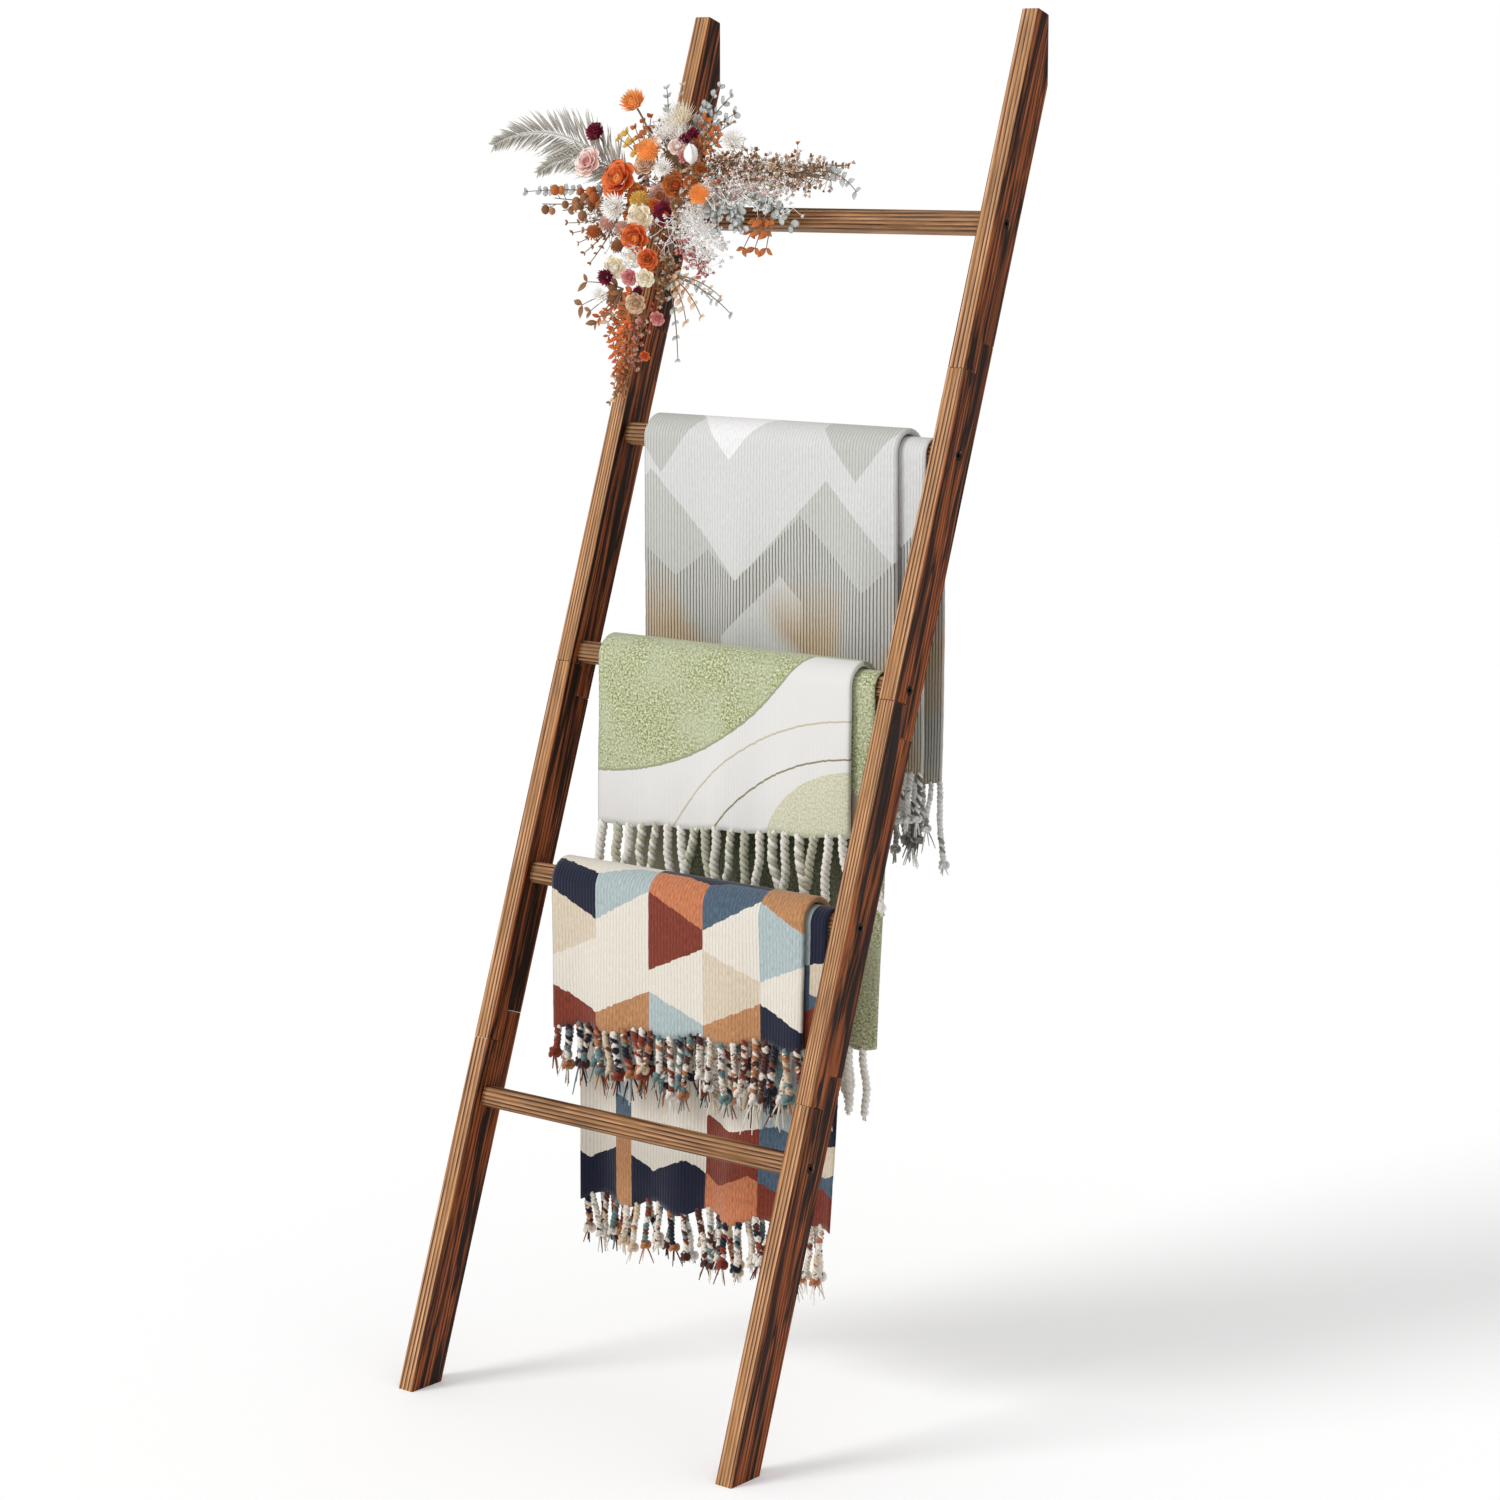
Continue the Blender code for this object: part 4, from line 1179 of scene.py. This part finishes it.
def palm_frond(pile, base, peak, tip, barbs=66, reach=0.063):
    """A grey palm leaf: a bowed rib with narrow barbs that droop, longest a third of the way out."""
    t = np.linspace(0, 1, 30)[:, None]
    base, peak, tip = (np.asarray(v, float) for v in (base, peak, tip))
    path = base * (1 - t) ** 2 + peak * 2 * t * (1 - t) + tip * t**2
    tube(pile, path, np.linspace(0.0016, 0.0004, 30), plant_shade("palm", 0.5), sides=5)
    for k in range(barbs):
        share = 0.06 + 0.93 * k / barbs
        step = int(share * 29)
        place = path[step] + (path[min(29, step + 1)] - path[step]) * (share * 29 % 1)
        along = unit(path[min(29, step + 1)] - path[max(0, step - 1)])
        full = reach * (math.sin(math.pi * min(1, share * 0.62 + 0.3)) ** 0.8) * (1 - 0.45 * share)
        for way in (-1, 1):
            side = unit(np.cross(along, (0.15, -1, 0.1))) * way
            droop = np.array([0, chance.uniform(-0.35, 0.25), -0.12])
            ahead = along * (0.75 + 0.5 * share) + side * 0.75 + droop
            length = full * chance.uniform(0.82, 1.05)
            petal(pile, place, ahead, (0.3, -1, 0.3), length, 0.0027, -0.10, 0.4, "palm", True, 3,
                  shade=(0.1, chance.uniform(0.6, 1.0)))

# %% [markdown]
# The heart comes first, because it is what the eye lands on: orange and red roses, two bright
# pincushions, white chrysanthemums and small round heads, packed so that their rims touch.

# %% Heart of the spray
heart, left_arm, right_arm, crown, tail = Pile(), Pile(), Pile(), Pile(), Pile()
for *at, size, plant, inside in (
    (-265, 1328, 44, 19, "flame", "orange"), (-318, 1347, 44, 15, "blush", "pink"),
    (-216, 1287, 50, 13, "cream", "cream"), (-216, 1263, 50, 14, "flame", "orange"),
    (-194, 1240, 46, 10, "flame", "rust"), (-186, 1365, 46, 9, "blush", "white"),
    (-183, 1322, 38, 13, "rust", "flame"), (-238, 1310, 36, 12, "rust", "rust"),
    (-190, 1290, 36, 12, "burgundy", "flame"), (-238, 1345, 34, 12, "tan", "dusty"),
    (-220, 1243, 44, 11, "white", "cream"), (-247, 1230, 38, 11, "cream", "white"),
    (-206, 1310, 34, 12, "dusty", "rust"),
):
    head(rose, heart, at, size, plant, inside)
for *at, size, plant in ((-223, 1360, 50, 19, "orange"), (-137, 1312, 48, 15, "orange")):
    place = head(burst, heart, at, size, plant, 150, 1.5, 0.085, 0.12)
    bead(heart, place, size / 1900, plant, 0.35)
for *at, size, count in ((-259, 1297, 46, 20, 110), (-196, 1341, 50, 14, 90)):
    head(burst, heart, at, size, "white", count, 1.55, 0.13, 0.3)
for *at, size, plant in (
    (-220, 1305, 52, 13, "mustard"), (-271, 1278, 42, 10, "dusty"), (-246, 1273, 42, 10, "dusty"),
    (-294, 1268, 35, 10, "rust"), (-253, 1253, 35, 9, "brown"), (-172, 1300, 40, 10, "brown"),
    (-160, 1325, 40, 10, "rust"),
):
    place = head(burst, heart, at, size, plant, 80, 2.2, 0.22, 0.1, False, 2, 0.4)
    bead(heart, place, size / 1500, plant, 0.2)
bud = spot(-163, 1357, 46)
for turn in range(6):
    swing = turn * math.pi / 3
    around_bud = np.array([math.cos(swing), -0.4, math.sin(swing) * 0.2])
    petal(heart, bud - (0, 0, 0.012), (0, -0.15, 1), around_bud, 0.025, 0.014, 0.0, -0.6, "white", True,
          5, shade=(0.4, 1.0))
bead(heart, bud, 0.0075, "white", 0.9, (1, 1, 1.5))
for k in range(34):
    turn = chance.uniform(0, 6.28)
    reach = chance.uniform(0.3, 1.0)
    x = -205 + 95 * reach * math.cos(turn)
    z = 1305 + 60 * reach * math.sin(turn)
    start = (-205 + 20 * math.cos(turn), 1305 + 15 * math.sin(turn), 12)
    mist(heart, start, (x, z, chance.uniform(18, 38)), (0, 4),
         chance.choice(["brown", "rust", "white", "tan", "tan", "dusty"]), 0.0052, 10, 0.018)
for x, z, plant in ((-182, 1372, "burgundy"), (-172, 1378, "burgundy"), (-205, 1300, "flame"),
                    (-150, 1340, "rust"), (-176, 1352, "pink"), (-240, 1290, "rust")):
    head(burst, heart, (x, z, 40), 10, plant, 26, 1.3, 0.4, 0.3, False, 3)
for k in range(20):
    x = -165 + chance.uniform(-26, 62)
    z = 1275 + chance.uniform(-34, 18) - (x + 160) * 0.25
    mist(heart, (-175, 1295, 20), (x, z, chance.uniform(24, 44)), (4, 6), "white", 0.0042, 20, 0.021,
         "white")
for k in range(7):
    mist(heart, (-178, 1262, 20), (-128 + chance.uniform(-22, 22), 1232 + chance.uniform(-14, 14), 26),
         (3, 4), "pink", 0.0042, 12, 0.014)
for k in range(8):
    mist(heart, (-190, 1262, 14), (-190 + chance.uniform(-10, 12), 1205 + chance.uniform(-20, 22), 18),
         (2, 4), chance.choice(["rust", "tan"]), 0.0038, 11, 0.013)

# %% [markdown]
# The left arm is the palm frond with berries, eucalyptus and dark seed heads below it. The right
# arm is a long brush of brown filler that ends in grey leaves, with a bank of blue-grey
# eucalyptus under it.

# %% Left and right arms
palm_frond(left_arm, spot(-262, 1322, 26), spot(-372, 1412, 52), spot(-458, 1366, 62))
palm_frond(left_arm, spot(-262, 1322, 20), spot(-340, 1375, 40), spot(-392, 1334, 46), 40, 0.044)
leafy_sprig(left_arm, (-285, 1312, 22), (-412, 1313, 34), (0, 6), "grey", 0.010, 0.85, 9, False)
for k in range(5):
    berry_sprig(left_arm, (-280, 1305, 20), (-318 - 17 * k, 1306 - 3.5 * (k % 3) * 2, 32), (0, -4),
                chance.choice(["dusty", "brown", "rust"]), 0.0052, 6)
for k in range(5):
    leafy_sprig(left_arm, (-270, 1290, 22), (-338 + 12 * k, 1278 - 11 * k, 34), (0, -6), "brown", 0.007,
                0.6, 6, True)
for k in range(6):
    mist(left_arm, (-275, 1300, 20), (-330 + 12 * k, 1296 - 9 * k, 30), (0, -4),
         chance.choice(["white", "brown"]), 0.0032, 10, 0.014)
stalk = bend_path(spot(-280, 1330, 26), spot(-313, 1378, 42), (0.006, 0, 0.0))
tube(left_arm, stalk, 0.001, plant_shade("stem", 0.3), sides=5)
burst(left_arm, spot(-313, 1380, 45), outward(spot(-330, 1395, 60)), 0.0135, "burgundy", 60, 1.5, 0.34,
      0.35, False, 3)

for share in shares(46):
    x = -150 + 190 * share + chance.uniform(-8, 8)
    z = 1340 + chance.uniform(-30, 30) * (1 - 0.72 * share) - 4 * share
    start_x = -165 + 130 * share
    mist(right_arm, (start_x, 1335, 20), (x, z, chance.uniform(18, 42)), (0, 4),
         chance.choice(["brown", "tan", "blush", "white", "rust", "brown", "tan"]), 0.0042, 13, 0.019)
for share in shares(9):
    mist(right_arm, (-150 + 60 * share, 1330, 20),
         (-118 + 110 * share, 1318 + chance.uniform(-12, 10), 40), (0, 4), "blush", 0.0046, 14, 0.018)
for share in shares(9):
    mist(right_arm, (-150 + 60 * share, 1322, 22),
         (-130 + 128 * share, 1306 + chance.uniform(-14, 16), 42), (0, 4), "white", 0.0044, 14, 0.018,
         "white")
for share in shares(9):
    leafy_sprig(right_arm, (-140 + 60 * share, 1312, 22),
                (-122 + 118 * share + chance.uniform(-8, 8), 1286 + chance.uniform(-12, 16), 38), (0, 8),
                "grey", 0.013, 0.85, 6, False)
leafy_sprig(right_arm, (10, 1338, 24), (66, 1318, 26), (0, 14), "grey", 0.013, 0.6, 6, True)
leafy_sprig(right_arm, (-10, 1340, 24), (48, 1345, 26), (0, 5), "brown", 0.009, 0.6, 8, True)
for k in range(3):
    leafy_sprig(right_arm, (-58 + 8 * k, 1290, 30), (-66 + 16 * k, 1255, 36), (2, 4), "rust", 0.018, 0.5,
                3, True)
head(burst, right_arm, (-115, 1371, 36), 16, "white", 90, 1.6, 0.09, 0.2)

# %% [markdown]
# The crown fans upwards with an orange strawflower, a cream pampas puff and eucalyptus. The tail
# runs down the front edge of the rail and thins to single leaves.

# %% Crown and tail
place = spot(-262, 1411, 46)
burst(crown, place, (0.1, -0.75, 0.62), 0.0205, "orange", 90, 1.35, 0.2, 0.5)
burst(crown, place, (0.1, -0.75, 0.62), 0.012, "mustard", 40, 0.8, 0.2, 0.3)
tube(crown, bend_path(spot(-226, 1345, 26), place, (0.01, 0, 0)), 0.0012, plant_shade("stem", 0.4),
     sides=5)
for k in range(5):
    puff = spot(-205 + chance.uniform(-14, 14), 1385 + chance.uniform(-14, 16), 34)
    burst(crown, puff, (0.2, -0.5, 0.8), 0.024, "cream" if k % 2 else "white", 70, 1.5, 0.045, 0.5, True,
          3, 0.0)
for x, z, leaf in ((-138, 1422, 12), (-158, 1432, 10), (-128, 1402, 12), (-172, 1410, 12)):
    leafy_sprig(crown, (-190, 1352, 20), (x, z, 28), (-6, 6), "grey", leaf / 1000, 0.8, 8, False)
leafy_sprig(crown, (-222, 1362, 20), (-233, 1431, 32), (4, 0), "grey", 0.009, 0.6, 8, True)
leafy_sprig(crown, (-215, 1362, 20), (-212, 1434, 30), (4, 0), "palm", 0.008, 0.5, 8, True)
for k in range(4):
    leafy_sprig(crown, (-185, 1348, 22), (-168 + 12 * k, 1394 - 7 * k, 30), (0, 6), "rust", 0.015, 0.5, 5,
                True)
for k in range(5):
    leafy_sprig(crown, (-245, 1345, 26), (-284 + 10 * k, 1374 + 6 * k, 36), (0, 3),
                chance.choice(["rust", "mustard"]), 0.012, 0.75, 4, True)
for k in range(12):
    mist(crown, (-205, 1345, 18),
         (-262 + 12 * k, 1372 + 12 * math.sin(k * 1.3) + 10, chance.uniform(18, 34)), (0, 4),
         chance.choice(["white", "tan", "brown", "rust"]), 0.0042, 12, 0.016)

for *at, size, plant, kind in (
    (-256, 1219, 38, 13, "burgundy", "mum"), (-219, 1219, 42, 8, "pink", "rose"),
    (-195, 1219, 42, 9, "cream", "rose"), (-260, 1199, 36, 14, "white", "spiky"),
    (-208, 1204, 34, 8, "burgundy", "mum"), (-210, 1190, 32, 10, "tan", "rose"),
    (-188, 1173, 14, 7, "pink", "rose"), (-196, 1131, 12, 5, "flame", "rose"),
):
    if kind == "rose":
        head(rose, tail, at, size, plant)
    else:
        petals, narrow = (50, 0.3) if kind == "mum" else (70, 0.08)
        head(burst, tail, at, size, plant, petals, 1.4, narrow, 0.3)
for x, z in ((-290, 1212), (-275, 1180), (-244, 1178), (-290, 1186), (-262, 1168)):
    leafy_sprig(tail, (-240, 1205, 24), (x, z, 32), (0, 4), "brown", 0.021, 0.45, 2, True)
for share in shares(13):
    x = -262 + 50 * share + chance.uniform(-8, 8)
    leafy_sprig(tail, (-222 + 6 * share, 1205 - 55 * share, 20), (x, 1178 - 62 * share, 24), (0, 5),
                chance.choice(["rust", "rust", "tan", "flame"]), 0.0135, 0.5, 5, True)
for share in shares(13):
    mist(tail, (-216, 1190 - 60 * share, 10),
         (-206 - 8 * share + chance.uniform(-9, 9), 1168 - 70 * share, 20), (0, 3),
         chance.choice(["pink", "flame", "rust", "tan"]), 0.0042, 9, 0.012)
for share in shares(9):
    leafy_sprig(tail, (-220, 1128 - 32 * share, 8),
                (-222 + chance.uniform(-12, 12), 1112 - 34 * share, 14), (0, 2),
                chance.choice(["tan", "brown", "rust"]), 0.0085, 0.6, 3, True)
for x, z, plant, leaf in (
    (-140, 1172, "tan", 13), (-110, 1196, "grey", 10), (-78, 1182, "grey", 10), (-120, 1178, "tan", 12),
    (-140, 1130, "grey", 10), (-98, 1200, "tan", 9),
):
    leafy_sprig(tail, (-186, 1222, 16), (x, z, 20), (6, 12), plant, leaf / 1000, 0.6, 6, True)

# %% [markdown]
# Dried petals are dull and papery. They have no gloss, let a little light through and are never
# one flat tone, so the finish adds fine veins and blotches to the colours that the points carry.
# The light they let through is painted: every petal glows faintly in its own colour, so that it is
# never quite dark in shade.

# %% Papery dried petals
# The petals emit a faint glow in their own colour: painted light, standing in for the light that thin petals
# let through.
PAINTED_PETAL_GLOW = 0.13  # the light that thin petals let through
VEIN_MM = 1.2
petals, tree, surface = new_material("dried_flower_petals")
number = add(tree, "Attribute", attribute_name="plant")
dyes = add(tree, "ValToRGB", {"Fac": number.outputs["Fac"]})
plant_stops = []
for k, (base_code, tip_code) in enumerate(PLANTS.values()):
    plant_stops += [((k + 0.02) / len(PLANTS), base_code), ((k + 0.98) / len(PLANTS), tip_code)]
set_stops(dyes, plant_stops)
place = add(tree, "TexCoord").outputs["Object"]
veins, tone = spread_noise(tree, place, {"Scale": 1000 / VEIN_MM, "Detail": 3.0}, 0.3, 0.7, 0.86, 1.2)
papery = dim(tree, dyes, tone)
wrinkle = add(tree, "Bump", {"Height": veins, "Strength": 0.5, "Distance": 0.0004})
# Painted light: the petals glow in their own colour.
fill(surface, {"Base Color": papery, "Emission Color": papery, "Emission Strength": PAINTED_PETAL_GLOW})
fill(surface, {"Normal": wrinkle, "Roughness": 0.8, "Specular IOR Level": 0.2})

MASSES = dict(heart=heart, left_arm=left_arm, right_arm=right_arm, crown=crown, tail=tail)
for mass, pile in MASSES.items():
    piece = pile.make("dried_flowers_" + mass, "plant")
    piece.data.materials.append(petals)
    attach(piece, "rack")
    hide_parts("floral_" + mass)

# %% [markdown]
# The last small things: black oxide on the bolts and screws, a thin dark coat that
# shines softly where a key has rubbed it, and the jute twine that ties the spray to the rail.

# %% Black oxide steel and jute
TWINE_MM = 1.5
black_steel, tree, surface = new_material("black_oxide_steel")
place = add(tree, "TexCoord").outputs["Object"]
rub = add(tree, "TexNoise", {"Vector": place, "Scale": 420.0, "Detail": 3.0})
coat = add(tree, "ValToRGB", {"Fac": rub})
set_stops(coat, [(0.35, "#0d0d0e"), (0.62, "#1f1f21"), (0.75, "#3a3a3c")])
gloss = add(tree, "MapRange", {"Value": rub, "To Min": 0.55, "To Max": 0.32})
fill(surface, {"Base Color": coat, "Roughness": gloss, "Metallic": 0.85})
jute, tree, surface = new_material("jute_twine")
place = add(tree, "TexCoord").outputs["Object"]
twine = {"Vector": place, "Scale": 2 * math.pi / (WAVE_UNITS * TWINE_MM / 1000), "Distortion": 1.5}
plies = add(tree, "TexWave", twine, bands_direction="Z").outputs["Fac"]
straw = add(tree, "ValToRGB", {"Fac": plies})
set_stops(straw, [(0.1, "#5f4526"), (0.6, "#a98352"), (1.0, "#c9a673")])
twist = add(tree, "Bump", {"Height": plies, "Strength": 0.8, "Distance": 0.0006})
fill(surface, {"Base Color": straw, "Normal": twist, "Roughness": 0.9})
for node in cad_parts:
    if "bolt" in node or "screw" in node:
        dress(node, black_steel)
    if "tie" in node:
        dress(node, jute)
